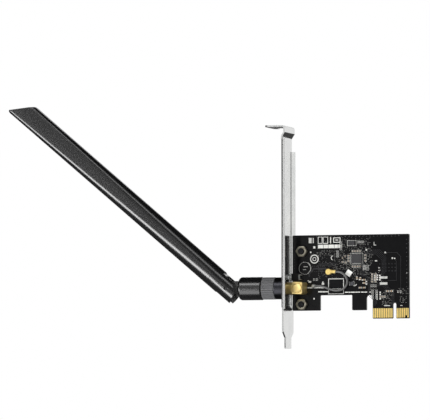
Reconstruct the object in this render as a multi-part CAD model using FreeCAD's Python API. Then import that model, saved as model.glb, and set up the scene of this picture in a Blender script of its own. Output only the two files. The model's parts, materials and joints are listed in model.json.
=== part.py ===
import FreeCAD, Part
import math
import os

V = FreeCAD.Vector

# A wireless network card for a desktop computer: a small circuit board screwed to a full-height
# slot bracket, with one folding rod antenna on a threaded radio jack. All sizes are millimetres.
# X runs from the bracket's outer face towards the board's free end, Z runs up and the component
# side of the board faces -Y. Z = 0 is the underside of the bracket's tab, which rests on the
# computer's slot rail. X = 0 is the bracket's outer face and Y = 0 the board's component face.

# Slot bracket
SHEET = 0.86
BRACKET_HEIGHT = 120.02
BRACKET_WIDTH = 18.42
TAB_LENGTH = 11.43
TAB_BEND = 0.9
TAB_CORNER = 1.6
NOTCH_WIDTH = 4.42
NOTCH_DEPTH = 5.6
NOTCH_TO_PLATE = 5.3
PLATE_OFFSET = 1.6
PLATE_HEIGHT = 3.9
JOGGLE_HEIGHT = 2.5
TRAY_WIDTH = 17.0
EDGE_PAST_TRAY = 0.75
TRAY_BEND = 1.2
TRAY_BOTTOM = 98.1
NEAR_RIM = 2.3
FAR_RIM = 3.1
FAR_FLANGE_TOP = 12.8
RIM_CORNER = 1.0
TRAY_FOOT_RADIUS = 2.0
TONGUE_OFFSET = 0.85
TONGUE_WIDE_END = 110.3
TONGUE_TAPER = 3.2
TONGUE_WIDTH = 10.19
TONGUE_CORNER = 0.6
EAR_RADIUS = 3.2
EAR_CORNER = 2.5

# Circuit board, measured from its top corner beside the bracket: across, then down
BOARD_GAP = 2.1
BOARD_TOP = 58.0
BOARD_WIDTH = 65.3
BOARD_THICKNESS = 1.6
BOARD_CORNER = 0.6
SHOULDER_DOWN = 32.5
TAB_DOWN = 40.7
FINGER_DOWN = 45.3
FOOT_ACROSS = 15.6
HOOK_START = 33.5
HOOK_END = 41.5
FINGERS_START = 45.0
KEY_CENTRE = 57.15
KEY_WIDTH = 1.9
KEY_DEPTH = 8.4
ROUND_END = 0.98
FINGER_BEVEL = 0.45

# Gold edge contacts
CONTACT_PITCH = 1.0
CONTACT_WIDTH = 0.7
CONTACT_LENGTH = 5.5
CONTACT_THICKNESS = 0.04
CONTACTS_BEFORE_KEY = 11
CONTACTS_AFTER_KEY = 7
SHORT_CONTACT = 1.2
SHORT_IN_FRONT = 16
SHORT_BEHIND = 0
KEY_TO_CONTACT = 1.5

# Screws that hold the board to the bracket's two ears
SCREW_ACROSS = 5.5
SCREW_DOWN = (8.7, 37.3)
SCREW_DIAMETER = 3.0
SCREW_HOLE = 3.3
SCREW_PAST_NUT = 0.6
HEAD_DIAMETER = 5.6
HEAD_HEIGHT = 1.9
HEAD_EDGE = 1.0
HEAD_CROWN = 2.8
DRIVE_WIDTH = 0.75
DRIVE_LENGTH = 3.0
DRIVE_DEPTH = 1.0
NUT_FLATS = 5.5
NUT_HEIGHT = 2.4

# Indicator lamp on the board's edge, seen through a hole in the bracket
LAMP_DOWN = 22.7
LAMP_DIAMETER = 3.0
LAMP_TIP = 0.5
LAMP_HEIGHT = 2.0
LAMP_HOLE = 3.4
HOLDER_START = 2.7
HOLDER_LENGTH = 3.8
HOLDER_WALL = 0.45
LEAD_DIAMETER = 0.5
LEAD_SPACING = 2.54
LEAD_BACK = 1.0

# Radio jack: a gold block on the board with a threaded barrel through the bracket
JACK_DOWN = 28.7
JACK_HEIGHT = 6.0
JACK_START = 4.0
JACK_BLOCK = 6.6
JACK_BLOCK_WIDE = 6.2
JACK_TOP = 9.1
JACK_STANDOFF = 0.3
JACK_CHAMFER = 0.5
BARREL_DIAMETER = 6.35
BARREL_REACH = 7.6
BARREL_HOLE = 6.6
MOUTH_DIAMETER = 4.7
MOUTH_DEPTH = 2.5
DIELECTRIC_DIAMETER = 4.1
PIN_DIAMETER = 0.9
PIN_PAST_DIELECTRIC = 1.9
CAP_DIAMETER = 5.4
CAP_THICKNESS = 0.6
CAP_PROUD = 0.2
POST_DIAMETER = 1.2
POST_INSET = 1.0
POST_THROUGH = 0.7
POST_HOLE = 1.4
COLLAR_DIAMETER = 1.7
SOLDER_HEIGHT = 0.5
SOLDER_FOOT = 0.5
SOLDER_NECK = 0.1
FOOT_BUSH = 2.4

# Antenna plug and its coupling nut, measured outwards from the bracket's outer face
NUT_START = 0.3
GRIP_START = 5.2
GRIP_LENGTH = 7.1
NUT_DIAMETER = 11.9
NUT_CORE = 9.8
NUT_EDGE = 0.35
GRIP_DIAMETER = 12.0
GRIP_RIB = 0.33
GRIP_RIBS = 30
THREAD_CLEARANCE = 0.06
CHAMBER_START = 7.9
CHAMBER_DIAMETER = 7.5
STEM_DIAMETER = 7.2
STEM_START = 8.3
NOSE_CLEARANCE = 0.08
NOSE_WALL = 0.27
SEAT_CLEARANCE = 0.05
SOCKET_WALL = 0.13
SOCKET_CLEARANCE = 0.05
SOCKET_DEPTH = 3.0
DIELECTRIC_END = 14.0
CRIMP_END = 20.0
CRIMP_DIAMETER = 7.8
RING_AT = 10.7
RING_WIDTH = 0.5
RING_BITE = 0.35
RING_CLEARANCE = 0.08

# Antenna base, moulded in one piece with the hinge's tongue
BASE_START = 12.6
BASE_LENGTH = 13.0
BASE_DIAMETER = 12.5
BASE_SHOULDER = 1.5
BASE_RIM = 0.5
HINGE_REACH = 6.5
TONGUE_THICKNESS = 5.4
TONGUE_HEIGHT = 8.2
CABLE_DIAMETER = 1.13
CABLE_CLEARANCE = 0.05
PIN_TO_CABLE = 1.2

# Antenna arm, drawn straight out from the bracket and then turned up about the hinge
ARM_TILT = 40.0
ARM_DIAMETER = 11.75
ARM_TAIL = 6.1
TAIL_LEAN = 0.6
TAIL_HEEL = 1.2
TAIL_ROUND = 2.0
CHEEK_ROUND = 1.0
CHEEK_RELIEF = 0.95
RELIEF_END = 6.8
CHEEK_TOP_END = 0.4
HINGE_SIDE_GAP = 0.12
SLOT_CLEARANCE = 0.6
HINGE_PIN = 2.0
HINGE_PIN_CLEARANCE = 0.05
HINGE_PIN_RECESS = 0.55
SEAM_AT = 11.1
SPIGOT_LENGTH = 7.0
SPIGOT_CLEARANCE = 0.05
ARM_WALL = 1.3
ARM_REACH_LOW = 162.0
ARM_REACH_HIGH = 150.7
BLADE_THICKNESS = 6.4
BLADE_CORNER = 1.7
SMALLEST_CORNER = 0.4
TIP_WALL = 2.0
STRIP_WIDTH = 7.0
STRIP_THICKNESS = 0.8
STRIP_LENGTH = 118.0
STRIP_SEAT = 3.0
STRIP_CLEARANCE = 0.05
CABLE_OVERLAP = 8.0

# Small parts on the board, across and down from its top corner beside the bracket
CHIP_AT = (36.15, 12.95)
CHIP_SIZE = (5.9, 4.9, 0.9)
CHIP_PITCH = 0.5
CHIP_LEAD_COUNTS = (8, 10)
PACKAGE_CHAMFER = 0.08
MEMORY_AT = (33.35, 4.55)
MEMORY_SIZE = (3.5, 2.3, 1.0)
MEMORY_PITCH = 0.95
MEMORY_LEAD_COUNTS = (0, 3)
LEAD_WIDTH = 0.24
LEAD_REACH = 0.35
LEAD_HEIGHT = 0.22
CRYSTAL_AT = (41.2, 17.9)
CRYSTAL_SIZE = (2.5, 2.0, 0.55)
INDUCTOR_AT = (33.6, 26.4)
INDUCTOR_SIZE = (2.4, 2.0, 1.1)
INDUCTOR_END = 0.35
INDUCTOR_END_HEIGHT = 0.66
STICKER_AT = (31.7, 20.7)
STICKER_SIDE = 3.1
STICKER_TURN = 35.0
STICKER_THICKNESS = 0.08
SMALL_PASSIVE = (1.0, 0.5, 0.42)
LARGE_PASSIVE = (1.6, 0.8, 0.7)
END_CAP_SHARE = 0.25
PAD_THICKNESS = 0.05
BAR_PADS_AT = (51.1, 24.9)
BAR_PAD_SIZE = (4.2, 1.25)
BAR_PAD_SPACING = 3.2
TEST_PADS = ((52.0, 9.9, 1.0), (56.0, 13.0, 1.0), (12.2, 34.3, 0.9))

# Board-side coax lead: a receptacle on the board, a push-on plug and a soldered end
RECEPTACLE_AT = (20.6, 19.9)
RECEPTACLE_SIDE = 2.6
RECEPTACLE_BASE = 0.35
RECEPTACLE_RING = 2.0
RECEPTACLE_HEIGHT = 1.0
RECEPTACLE_WALL = 0.25
PLUG_DIAMETER = 3.1
PLUG_FLOOR = 0.45
PLUG_HEIGHT = 1.75
CRIMP_LENGTH = 3.9
CRIMP_WIDTH = 1.7
COAX_DIAMETER = 1.13
COAX_EXIT_HEIGHT = 1.1
ANCHOR_SIZE = (2.6, 2.0, 1.3)
ARC_SHARE = 0.45

# The lead's route from the push-on plug to the soldered end: across, down, height over the board
COAX_ROUTE = (
    (24.5, 19.9, 1.10),
    (26.5, 19.9, 1.10),
    (28.6, 20.7, 1.45),
    (30.3, 22.2, 1.80),
    (31.4, 24.4, 1.95),
    (31.2, 26.9, 1.80),
    (29.5, 28.9, 1.55),
    (27.2, 29.9, 1.30),
    (24.7, 30.1, 1.10),
    (22.2, 29.6, 1.00),
    (19.9, 28.8, 0.95),
    (17.8, 27.9, 0.90),
    (15.6, 27.4, 0.85),
    (13.3, 27.4, 0.85),
)

# Chip passives: across, down, step across, step down, whether they stand upright, and how many
CAPACITOR_ROWS = (
    (33.9, 8.9, 1.4, 0.0, True),
    (31.6, 11.2, 0.0, 1.5, False),
    (41.0, 11.2, 0.0, 1.5, False),
    (33.9, 17.2, 1.4, 0.0, True),
    (28.2, 12.5, 0.0, 0.0, True),
    (29.7, 11.6, 0.0, 0.0, True),
    (28.3, 14.7, 1.6, 0.3, False),
    (44.8, 21.4, 0.0, 1.35, False),
    (46.7, 21.4, 0.0, 1.35, False),
    (49.4, 33.6, 1.2, 0.0, True),
)
CAPACITOR_COUNTS = (4, 3, 3, 4, 1, 1, 2, 4, 4, 3)
RESISTOR_ROWS = (
    (27.3, 4.2, 0.0, 1.2, False),
    (37.1, 4.0, 1.2, 0.0, True),
    (25.4, 9.0, 0.0, 1.3, False),
    (44.4, 27.6, 1.15, 0.0, True),
    (45.0, 30.4, 0.0, 1.3, False),
    (47.2, 30.4, 0.0, 1.3, False),
    (12.2, 24.0, 1.6, 0.0, True),
    (59.2, 31.0, 1.5, 0.0, True),
)
RESISTOR_COUNTS = (4, 3, 3, 3, 4, 4, 2, 2)
LARGE_ROWS = (
    (36.4, 23.4, 1.9, 0.3, True),
    (40.4, 24.4, 0.0, 1.7, False),
    (38.2, 28.6, 2.2, 0.0, False),
    (53.4, 30.6, 2.2, 0.0, False),
)
LARGE_COUNTS = (2, 2, 2, 2)

# Steps in a quarter turn of a rounded edge, and the length under which two points are one
ARC_STEPS = 6
SAME_POINT = 1e-6

# Sizes worked out from those above
TRAY_BACK = BOARD_THICKNESS + SHEET
BACK_EDGE = TRAY_BACK + EDGE_PAST_TRAY
FRONT_EDGE = BACK_EDGE - BRACKET_WIDTH
TRAY_FRONT = TRAY_BACK - TRAY_WIDTH
TONGUE_CENTRE = (BACK_EDGE + FRONT_EDGE) / 2
BRACKET_FOOT = SHEET - BRACKET_HEIGHT
TAB_TIP = PLATE_OFFSET + SHEET - TAB_LENGTH
JACK_Z = -BOARD_TOP - JACK_DOWN
JACK_Y = -JACK_HEIGHT
JACK_CENTRE = JACK_START + JACK_BLOCK / 2
LAMP_Z = -BOARD_TOP - LAMP_DOWN
SCREW_X = BOARD_GAP + SCREW_ACROSS
MOUTH_FLOOR = BARREL_REACH - MOUTH_DEPTH
PIVOT_OUT = BASE_START + BASE_LENGTH + HINGE_REACH
PIVOT = V(-PIVOT_OUT, JACK_Y, JACK_Z)


def board_x(across):
    """X of a place on the board, given across from its edge beside the bracket."""
    return BOARD_GAP + across


def board_z(down):
    """Z of a place on the board, given down from its top edge."""
    return -BOARD_TOP - down


def save(name, solids):
    """Write one sub-part: a solid, or several separate solids of the same kind."""
    shape = solids if isinstance(solids, Part.Shape) else Part.Compound(list(solids))
    shape.exportStep("parts/" + name + ".step")


def block(x, y, z):
    """A box between two values along each axis."""
    size = (x[1] - x[0], y[1] - y[0], z[1] - z[0])
    return Part.makeBox(*size, V(x[0], y[0], z[0]))


def rod(diameter, start, end):
    """A round bar from one point to another."""
    way = end - start
    return Part.makeCylinder(diameter / 2, way.Length, start, way)


def tube(outer, inner, start, end):
    """A round tube from one point to another."""
    return rod(outer, start, end).cut(rod(inner, start, end))


def on_axis(out, up=0.0, side=0.0):
    """A point near the radio jack's axis, given outwards from the bracket's outer face."""
    return V(-out, JACK_Y + side, JACK_Z + up)


def outline(corners, place):
    """A closed flat face from (a, b, radius) corners. place turns a pair (a, b) into a point."""
    flat = [V(a, b, 0) for a, b, radius in corners]
    edges = []
    ends = []
    for i, corner in enumerate(flat):
        before = (flat[i - 1] - corner).normalize()
        after = (flat[(i + 1) % len(flat)] - corner).normalize()
        radius = corners[i][2]
        half = before.getAngle(after) / 2
        back = radius / math.tan(half)
        middle = (before + after).normalize() * (radius / math.sin(half) - radius) if radius else V()
        ends.append((corner + before * back, corner + middle, corner + after * back))
    for i, (start, middle, end) in enumerate(ends):
        following = ends[(i + 1) % len(ends)][0]
        if corners[i][2]:
            arc = Part.Arc(place(start.x, start.y), place(middle.x, middle.y), place(end.x, end.y))
            edges.append(arc.toShape())
        if (following - end).Length > SAME_POINT:
            line = Part.LineSegment(place(end.x, end.y), place(following.x, following.y))
            edges.append(line.toShape())
    return Part.Face(Part.Wire(edges))


def side_plate(corners, y):
    """A plate drawn in X and Z, between two values of Y."""
    return outline(corners, lambda a, b: V(a, y[0], b)).extrude(V(0, y[1] - y[0], 0))


def end_plate(corners, x):
    """A plate drawn in Y and Z, between two values of X."""
    return outline(corners, lambda a, b: V(x[0], a, b)).extrude(V(x[1] - x[0], 0, 0))


def revolved(profile, start, way):
    """A turned piece from (distance along, radius) pairs, closed on its axis."""
    across = V(0, 0, 1)
    points = [start + way * profile[0][0]]
    points += [start + way * along + across * radius for along, radius in profile]
    points += [start + way * profile[-1][0], points[0]]
    return Part.Face(Part.makePolygon(points)).revolve(start, way, 360)


def quarter(start, end):
    """(along, radius) pairs on a quarter ellipse, leaving start along the axis to end across it."""
    turns = [math.pi / 2 * step / ARC_STEPS for step in range(ARC_STEPS + 1)]
    long, deep = end[0] - start[0], start[1] - end[1]
    return [(start[0] + long * math.sin(t), end[1] + deep * math.cos(t)) for t in turns]


def bracket_section(bottom, top, far_rim):
    """The tray's bent section between two heights. A far_rim of 0 leaves the far side flat."""
    inner = TRAY_BEND - SHEET
    near = [
        (0, TRAY_FRONT, TRAY_BEND),
        (NEAR_RIM, TRAY_FRONT, 0),
        (NEAR_RIM, TRAY_FRONT + SHEET, 0),
        (SHEET, TRAY_FRONT + SHEET, inner),
    ]
    flat = [(SHEET, BACK_EDGE, 0), (0, BACK_EDGE, 0)]
    bent = [
        (SHEET, TRAY_BACK - SHEET, inner),
        (far_rim, TRAY_BACK - SHEET, 0),
        (far_rim, TRAY_BACK, 0),
        (0, TRAY_BACK, TRAY_BEND),
    ]
    face = outline(near + (bent if far_rim else flat), lambda a, b: V(a, b, bottom))
    return face.extrude(V(0, 0, top - bottom))


def bracket_tray():
    """The web and its two rims, cut to the side view's rounded ends."""
    plate_foot = SHEET - PLATE_HEIGHT
    near_top = plate_foot - JOGGLE_HEIGHT
    tray = bracket_section(-TRAY_BOTTOM, -FAR_FLANGE_TOP, FAR_RIM)
    tray = tray.fuse(bracket_section(-FAR_FLANGE_TOP, near_top, 0))
    ends = [
        (0, near_top, 0),
        (FAR_RIM, near_top, RIM_CORNER),
        (FAR_RIM, -TRAY_BOTTOM, 0),
        (0, -TRAY_BOTTOM, TRAY_FOOT_RADIUS),
    ]
    return tray.common(side_plate(ends, (TRAY_FRONT, BACK_EDGE)))


def bracket_top():
    """The tab, its bend, the plate below it and the step back to the web."""
    plate_foot = SHEET - PLATE_HEIGHT
    step_foot = plate_foot - JOGGLE_HEIGHT
    miter = SHEET * math.tan(math.atan2(PLATE_OFFSET, JOGGLE_HEIGHT) / 2)
    side = [
        (TAB_TIP, 0, 0),
        (PLATE_OFFSET, 0, TAB_BEND),
        (PLATE_OFFSET, plate_foot + miter, TAB_BEND),
        (0, step_foot + miter, TAB_BEND),
        (0, step_foot - SHEET, 0),
        (SHEET, step_foot - SHEET, 0),
        (SHEET, step_foot, TAB_BEND),
        (PLATE_OFFSET + SHEET, plate_foot, TAB_BEND),
        (PLATE_OFFSET + SHEET, SHEET, TAB_BEND + SHEET),
        (TAB_TIP, SHEET, 0),
    ]
    top = side_plate(side, (FRONT_EDGE, BACK_EDGE))
    neck = block((-SHEET, PLATE_OFFSET), (FRONT_EDGE, TRAY_FRONT), (step_foot - SHEET, step_foot + SHEET))
    return top.cut(neck).common(tab_plan())


def tab_plan():
    """The top seen from above: rounded tab corners and the open notch for the case screw."""
    reach = PLATE_OFFSET + 2 * SHEET
    plan = [
        (TAB_TIP, FRONT_EDGE, TAB_CORNER),
        (reach, FRONT_EDGE, 0),
        (reach, BACK_EDGE, 0),
        (TAB_TIP, BACK_EDGE, TAB_CORNER),
    ]
    low = SHEET - PLATE_HEIGHT - JOGGLE_HEIGHT - 2 * SHEET
    column = outline(plan, lambda a, b: V(a, b, low)).extrude(V(0, 0, 2 * SHEET - low))
    middle = PLATE_OFFSET - NOTCH_TO_PLATE
    round_y = BACK_EDGE - NOTCH_DEPTH + NOTCH_WIDTH / 2
    notch = rod(NOTCH_WIDTH, V(middle, round_y, -SHEET), V(middle, round_y, 2 * SHEET))
    half = NOTCH_WIDTH / 2
    slot = block((middle - half, middle + half), (round_y, BACK_EDGE + SHEET), (-SHEET, 2 * SHEET))
    return column.cut(notch.fuse(slot))


def bracket_tongue():
    """The step from the web to the tongue, and the tongue's narrowed end."""
    step_top = -TRAY_BOTTOM + JOGGLE_HEIGHT
    miter = SHEET * math.tan(math.atan2(TONGUE_OFFSET, JOGGLE_HEIGHT) / 2)
    side = [
        (0, step_top + SHEET, 0),
        (0, step_top - miter, TAB_BEND),
        (TONGUE_OFFSET, -TRAY_BOTTOM - miter, TAB_BEND),
        (TONGUE_OFFSET, BRACKET_FOOT, 0),
        (TONGUE_OFFSET + SHEET, BRACKET_FOOT, 0),
        (TONGUE_OFFSET + SHEET, -TRAY_BOTTOM, TAB_BEND),
        (SHEET, step_top, TAB_BEND),
        (SHEET, step_top + SHEET, 0),
    ]
    tongue = side_plate(side, (FRONT_EDGE, BACK_EDGE))
    half = TONGUE_WIDTH / 2
    face = [
        (TRAY_FRONT + TRAY_BEND, step_top + SHEET, 0),
        (TRAY_FRONT + TRAY_BEND, -TRAY_BOTTOM + TONGUE_CORNER, 0),
        (FRONT_EDGE, -TRAY_BOTTOM, TONGUE_CORNER),
        (FRONT_EDGE, -TONGUE_WIDE_END, TONGUE_CORNER),
        (TONGUE_CENTRE - half, -TONGUE_WIDE_END - TONGUE_TAPER, TONGUE_CORNER),
        (TONGUE_CENTRE - half, BRACKET_FOOT, TONGUE_CORNER),
        (TONGUE_CENTRE + half, BRACKET_FOOT, TONGUE_CORNER),
        (TONGUE_CENTRE + half, -TONGUE_WIDE_END - TONGUE_TAPER, TONGUE_CORNER),
        (BACK_EDGE, -TONGUE_WIDE_END, TONGUE_CORNER),
        (BACK_EDGE, -TRAY_BOTTOM, TONGUE_CORNER),
        (TRAY_BACK - TRAY_BEND, -TRAY_BOTTOM + TONGUE_CORNER, 0),
        (TRAY_BACK - TRAY_BEND, step_top + SHEET, 0),
    ]
    return tongue.common(end_plate(face, (0, TONGUE_OFFSET + SHEET)))


def bracket_ears():
    """Two ears of the far rim that lie against the board's back, one under each screw."""
    ears = []
    for down in SCREW_DOWN:
        z = board_z(down)
        low = max(z - EAR_RADIUS, -TRAY_BOTTOM)
        ear = [
            (SHEET, low, 0),
            (SCREW_X + EAR_RADIUS, low, EAR_CORNER),
            (SCREW_X + EAR_RADIUS, z + EAR_RADIUS, EAR_CORNER),
            (SHEET, z + EAR_RADIUS, 0),
        ]
        ears.append(side_plate(ear, (BOARD_THICKNESS, TRAY_BACK)))
    return ears


def bracket():
    """One sheet of plated steel: tab, plate, tray, tongue and ears, with its holes."""
    whole = bracket_tray().multiFuse([bracket_top(), bracket_tongue()] + bracket_ears())
    holes = [rod(BARREL_HOLE, on_axis(SHEET), on_axis(-2 * SHEET))]
    lamp = V(0, -LAMP_HEIGHT, LAMP_Z)
    holes.append(rod(LAMP_HOLE, lamp - V(SHEET, 0, 0), lamp + V(2 * SHEET, 0, 0)))
    for down in SCREW_DOWN:
        centre = V(SCREW_X, 0, board_z(down))
        holes.append(rod(SCREW_HOLE, centre, centre + V(0, TRAY_BACK + SHEET, 0)))
    return whole.cut(Part.Compound(holes)).removeSplitter().Solids[0]


def board_outline():
    """The board's edge: a foot by the bracket, a hook, and the keyed row of fingers."""
    left, right = board_x(0), board_x(BOARD_WIDTH)
    top, shoulder = board_z(0), board_z(SHOULDER_DOWN)
    low, tip = board_z(TAB_DOWN), board_z(FINGER_DOWN)
    slot = (FINGERS_START - HOOK_END) / 2
    key = KEY_WIDTH / 2
    key_top = tip + KEY_DEPTH
    inside = BOARD_CORNER / 2
    return [
        (left, top, BOARD_CORNER),
        (right, top, BOARD_CORNER),
        (right, tip, inside),
        (board_x(KEY_CENTRE) + key, tip, inside),
        (board_x(KEY_CENTRE) + key, key_top, key * ROUND_END),
        (board_x(KEY_CENTRE) - key, key_top, key * ROUND_END),
        (board_x(KEY_CENTRE) - key, tip, inside),
        (board_x(FINGERS_START), tip, inside),
        (board_x(FINGERS_START), shoulder, slot * ROUND_END),
        (board_x(HOOK_END), shoulder, slot * ROUND_END),
        (board_x(HOOK_END), low, BOARD_CORNER),
        (board_x(HOOK_START), low, BOARD_CORNER),
        (board_x(HOOK_START), shoulder, inside),
        (board_x(FOOT_ACROSS), shoulder, inside),
        (board_x(FOOT_ACROSS), low, BOARD_CORNER),
        (left, low, BOARD_CORNER),
    ]


def through(diameter, x, z):
    """A drill along Y through the board."""
    return rod(diameter, V(x, -SHEET, z), V(x, BOARD_THICKNESS + SHEET, z))


def post_places():
    """The four ground posts of the radio jack, as X and Z."""
    across = JACK_BLOCK / 2 - POST_INSET
    up = JACK_BLOCK_WIDE / 2 - POST_INSET
    return [(JACK_CENTRE + i * across, JACK_Z + j * up) for i in (-1, 1) for j in (-1, 1)]


def lead_places():
    """The lamp's two leads, as X and Z."""
    x = HOLDER_START + HOLDER_LENGTH + LEAD_BACK
    return [(x, LAMP_Z + side * LEAD_SPACING / 2) for side in (-1, 1)]


def circuit_board():
    """Glass-fibre board with its drilled holes and the bevel along its fingers."""
    board = side_plate(board_outline(), (0, BOARD_THICKNESS))
    drills = [through(SCREW_HOLE, SCREW_X, board_z(down)) for down in SCREW_DOWN]
    drills += [through(POST_HOLE, x, z) for x, z in post_places()]
    drills.append(through(PIN_DIAMETER + 2 * CABLE_CLEARANCE, JACK_CENTRE, JACK_Z))
    drills += [through(LEAD_DIAMETER + 2 * CABLE_CLEARANCE, x, z) for x, z in lead_places()]
    tip = board_z(FINGER_DOWN)
    ends = (board_x(FINGERS_START) - SHEET, board_x(BOARD_WIDTH) + SHEET)
    for face, way in ((0, 1), (BOARD_THICKNESS, -1)):
        corner = [V(ends[0], face, tip), V(ends[0], face + way * FINGER_BEVEL, tip)]
        corner += [V(ends[0], face, tip + FINGER_BEVEL), corner[0]]
        wedge = Part.Face(Part.makePolygon(corner)).extrude(V(ends[1] - ends[0], 0, 0))
        drills.append(wedge)
    return board.cut(Part.Compound(drills))


def contact_centres():
    """X of each contact: a row on each side of the key."""
    key = board_x(KEY_CENTRE)
    before = [key - KEY_TO_CONTACT - CONTACT_PITCH * i for i in range(CONTACTS_BEFORE_KEY)]
    after = [key + KEY_TO_CONTACT + CONTACT_PITCH * i for i in range(CONTACTS_AFTER_KEY)]
    return sorted(before) + after


def edge_contacts(y, short):
    """Gold contacts on one face of the board. One presence contact is shorter than the rest."""
    tip = board_z(FINGER_DOWN) + FINGER_BEVEL
    top = board_z(FINGER_DOWN) + CONTACT_LENGTH
    strips = []
    for i, x in enumerate(contact_centres()):
        foot = tip + (SHORT_CONTACT if i == short else 0)
        strips.append(block((x - CONTACT_WIDTH / 2, x + CONTACT_WIDTH / 2), y, (foot, top)))
    return strips


def board_screws():
    """Pan-head screws from behind: through an ear and the board into a nut."""
    screws = []
    for down in SCREW_DOWN:
        seat = V(SCREW_X, TRAY_BACK, board_z(down))
        end = V(SCREW_X, -NUT_HEIGHT - SCREW_PAST_NUT, board_z(down))
        dome = quarter((HEAD_EDGE, HEAD_DIAMETER / 2), (HEAD_HEIGHT, HEAD_CROWN / 2))
        head = revolved([(0, HEAD_DIAMETER / 2)] + dome, seat, V(0, 1, 0))
        deep = (seat.y + HEAD_HEIGHT - DRIVE_DEPTH, seat.y + HEAD_HEIGHT + SHEET)
        long, thin = DRIVE_LENGTH / 2, DRIVE_WIDTH / 2
        cross = block((seat.x - long, seat.x + long), deep, (seat.z - thin, seat.z + thin))
        cross = cross.fuse(block((seat.x - thin, seat.x + thin), deep, (seat.z - long, seat.z + long)))
        screws.append(head.cut(cross).fuse(rod(SCREW_DIAMETER, end, seat)).removeSplitter())
    return screws


def board_nuts():
    """Hexagon nuts on the component side, chamfered like a real nut."""
    nuts = []
    across = NUT_FLATS / math.cos(math.radians(30))
    for down in SCREW_DOWN:
        seat = V(SCREW_X, 0, board_z(down))
        corners = [math.radians(60 * i) for i in range(7)]
        ring = [seat + V(math.cos(a), 0, math.sin(a)) * (across / 2) for a in corners]
        hexagon = Part.Face(Part.makePolygon(ring)).extrude(V(0, -NUT_HEIGHT, 0))
        edge = (across - NUT_FLATS) / 2
        dome = [(0, across / 2), (NUT_HEIGHT - edge, across / 2), (NUT_HEIGHT, NUT_FLATS / 2)]
        nut = hexagon.common(revolved(dome, seat, V(0, -1, 0)))
        nuts.append(nut.cut(rod(SCREW_DIAMETER, seat, seat - V(0, NUT_HEIGHT, 0))))
    return nuts


def lamp_holder():
    """Black moulded holder that turns the lamp towards the bracket."""
    half = LAMP_DIAMETER / 2 + HOLDER_WALL
    x = (HOLDER_START, HOLDER_START + HOLDER_LENGTH)
    body = block(x, (-LAMP_HEIGHT - half, 0), (LAMP_Z - half, LAMP_Z + half))
    start = V(x[0], -LAMP_HEIGHT, LAMP_Z)
    return body.cut(rod(LAMP_DIAMETER, start, V(x[1], -LAMP_HEIGHT, LAMP_Z)))


def lamp_lens():
    """Clear lamp body: a round bar with a domed nose that looks out through the bracket."""
    radius = LAMP_DIAMETER / 2
    nose = V(LAMP_TIP + radius, -LAMP_HEIGHT, LAMP_Z)
    back = V(HOLDER_START + HOLDER_LENGTH, -LAMP_HEIGHT, LAMP_Z)
    return rod(LAMP_DIAMETER, nose, back).fuse(Part.makeSphere(radius, nose)).removeSplitter()


def lamp_leads():
    """Two bent tinned wires from the lamp's back down through the board."""
    leads = []
    for x, z in lead_places():
        corner = V(x, -LAMP_HEIGHT, z)
        run = rod(LEAD_DIAMETER, V(HOLDER_START + HOLDER_LENGTH, -LAMP_HEIGHT, z), corner)
        drop = rod(LEAD_DIAMETER, corner, V(x, BOARD_THICKNESS + POST_THROUGH, z))
        knee = Part.makeSphere(LEAD_DIAMETER / 2, corner)
        leads.append(run.multiFuse([drop, knee]).removeSplitter())
    return leads


def jack_body():
    """Gold-plated block with ground posts and the threaded barrel."""
    x = (JACK_START, JACK_START + JACK_BLOCK)
    half = JACK_BLOCK_WIDE / 2
    corners = [(x[0], -half), (x[1], -half), (x[1], half), (x[0], half)]
    corners = [(a, JACK_Z + b, JACK_CHAMFER) for a, b in corners]
    body = side_plate(corners, (-JACK_TOP, -JACK_STANDOFF))
    barrel = rod(BARREL_DIAMETER, on_axis(-JACK_START), on_axis(BARREL_REACH))
    posts = []
    for px, pz in post_places():
        top = V(px, -JACK_STANDOFF, pz)
        posts.append(rod(POST_DIAMETER, top, V(px, BOARD_THICKNESS + POST_THROUGH, pz)))
        posts.append(rod(COLLAR_DIAMETER, top, V(px, 0, pz)))
    body = body.multiFuse([barrel] + posts)
    far = -JACK_CENTRE - DIELECTRIC_DIAMETER / 2
    hollow = rod(DIELECTRIC_DIAMETER, on_axis(far), on_axis(BARREL_REACH))
    mouth = rod(MOUTH_DIAMETER, on_axis(MOUTH_FLOOR), on_axis(BARREL_REACH))
    centre = V(JACK_CENTRE, JACK_Y, JACK_Z)
    access = rod(DIELECTRIC_DIAMETER, centre, V(JACK_CENTRE, -JACK_TOP, JACK_Z))
    seat = V(JACK_CENTRE, -JACK_TOP + CAP_THICKNESS - CAP_PROUD, JACK_Z)
    seat = rod(CAP_DIAMETER, seat, V(JACK_CENTRE, -JACK_TOP, JACK_Z))
    foot = rod(FOOT_BUSH, centre, V(JACK_CENTRE, -JACK_STANDOFF, JACK_Z))
    return body.cut(hollow.multiFuse([mouth, access, seat, foot]))


def jack_contact():
    """Centre pin: along the barrel, then down through the board."""
    centre = V(JACK_CENTRE, JACK_Y, JACK_Z)
    pin = rod(PIN_DIAMETER, centre, on_axis(MOUTH_FLOOR + PIN_PAST_DIELECTRIC))
    drop = rod(PIN_DIAMETER, centre, V(JACK_CENTRE, BOARD_THICKNESS + POST_THROUGH, JACK_Z))
    return pin.multiFuse([drop, Part.makeSphere(PIN_DIAMETER / 2, centre)]).removeSplitter()


def jack_insulator():
    """White insulator round the centre pin, in the barrel and in the block's foot."""
    centre = V(JACK_CENTRE, JACK_Y, JACK_Z)
    along = rod(DIELECTRIC_DIAMETER, centre, on_axis(MOUTH_FLOOR))
    foot = rod(FOOT_BUSH, centre, V(JACK_CENTRE, -JACK_STANDOFF, JACK_Z))
    return along.fuse(foot).cut(jack_contact()).removeSplitter()


def jack_cap():
    """Round cap pressed into the block's front."""
    back = V(JACK_CENTRE, -JACK_TOP + CAP_THICKNESS - CAP_PROUD, JACK_Z)
    return rod(CAP_DIAMETER, back, V(JACK_CENTRE, -JACK_TOP - CAP_PROUD, JACK_Z))


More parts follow.
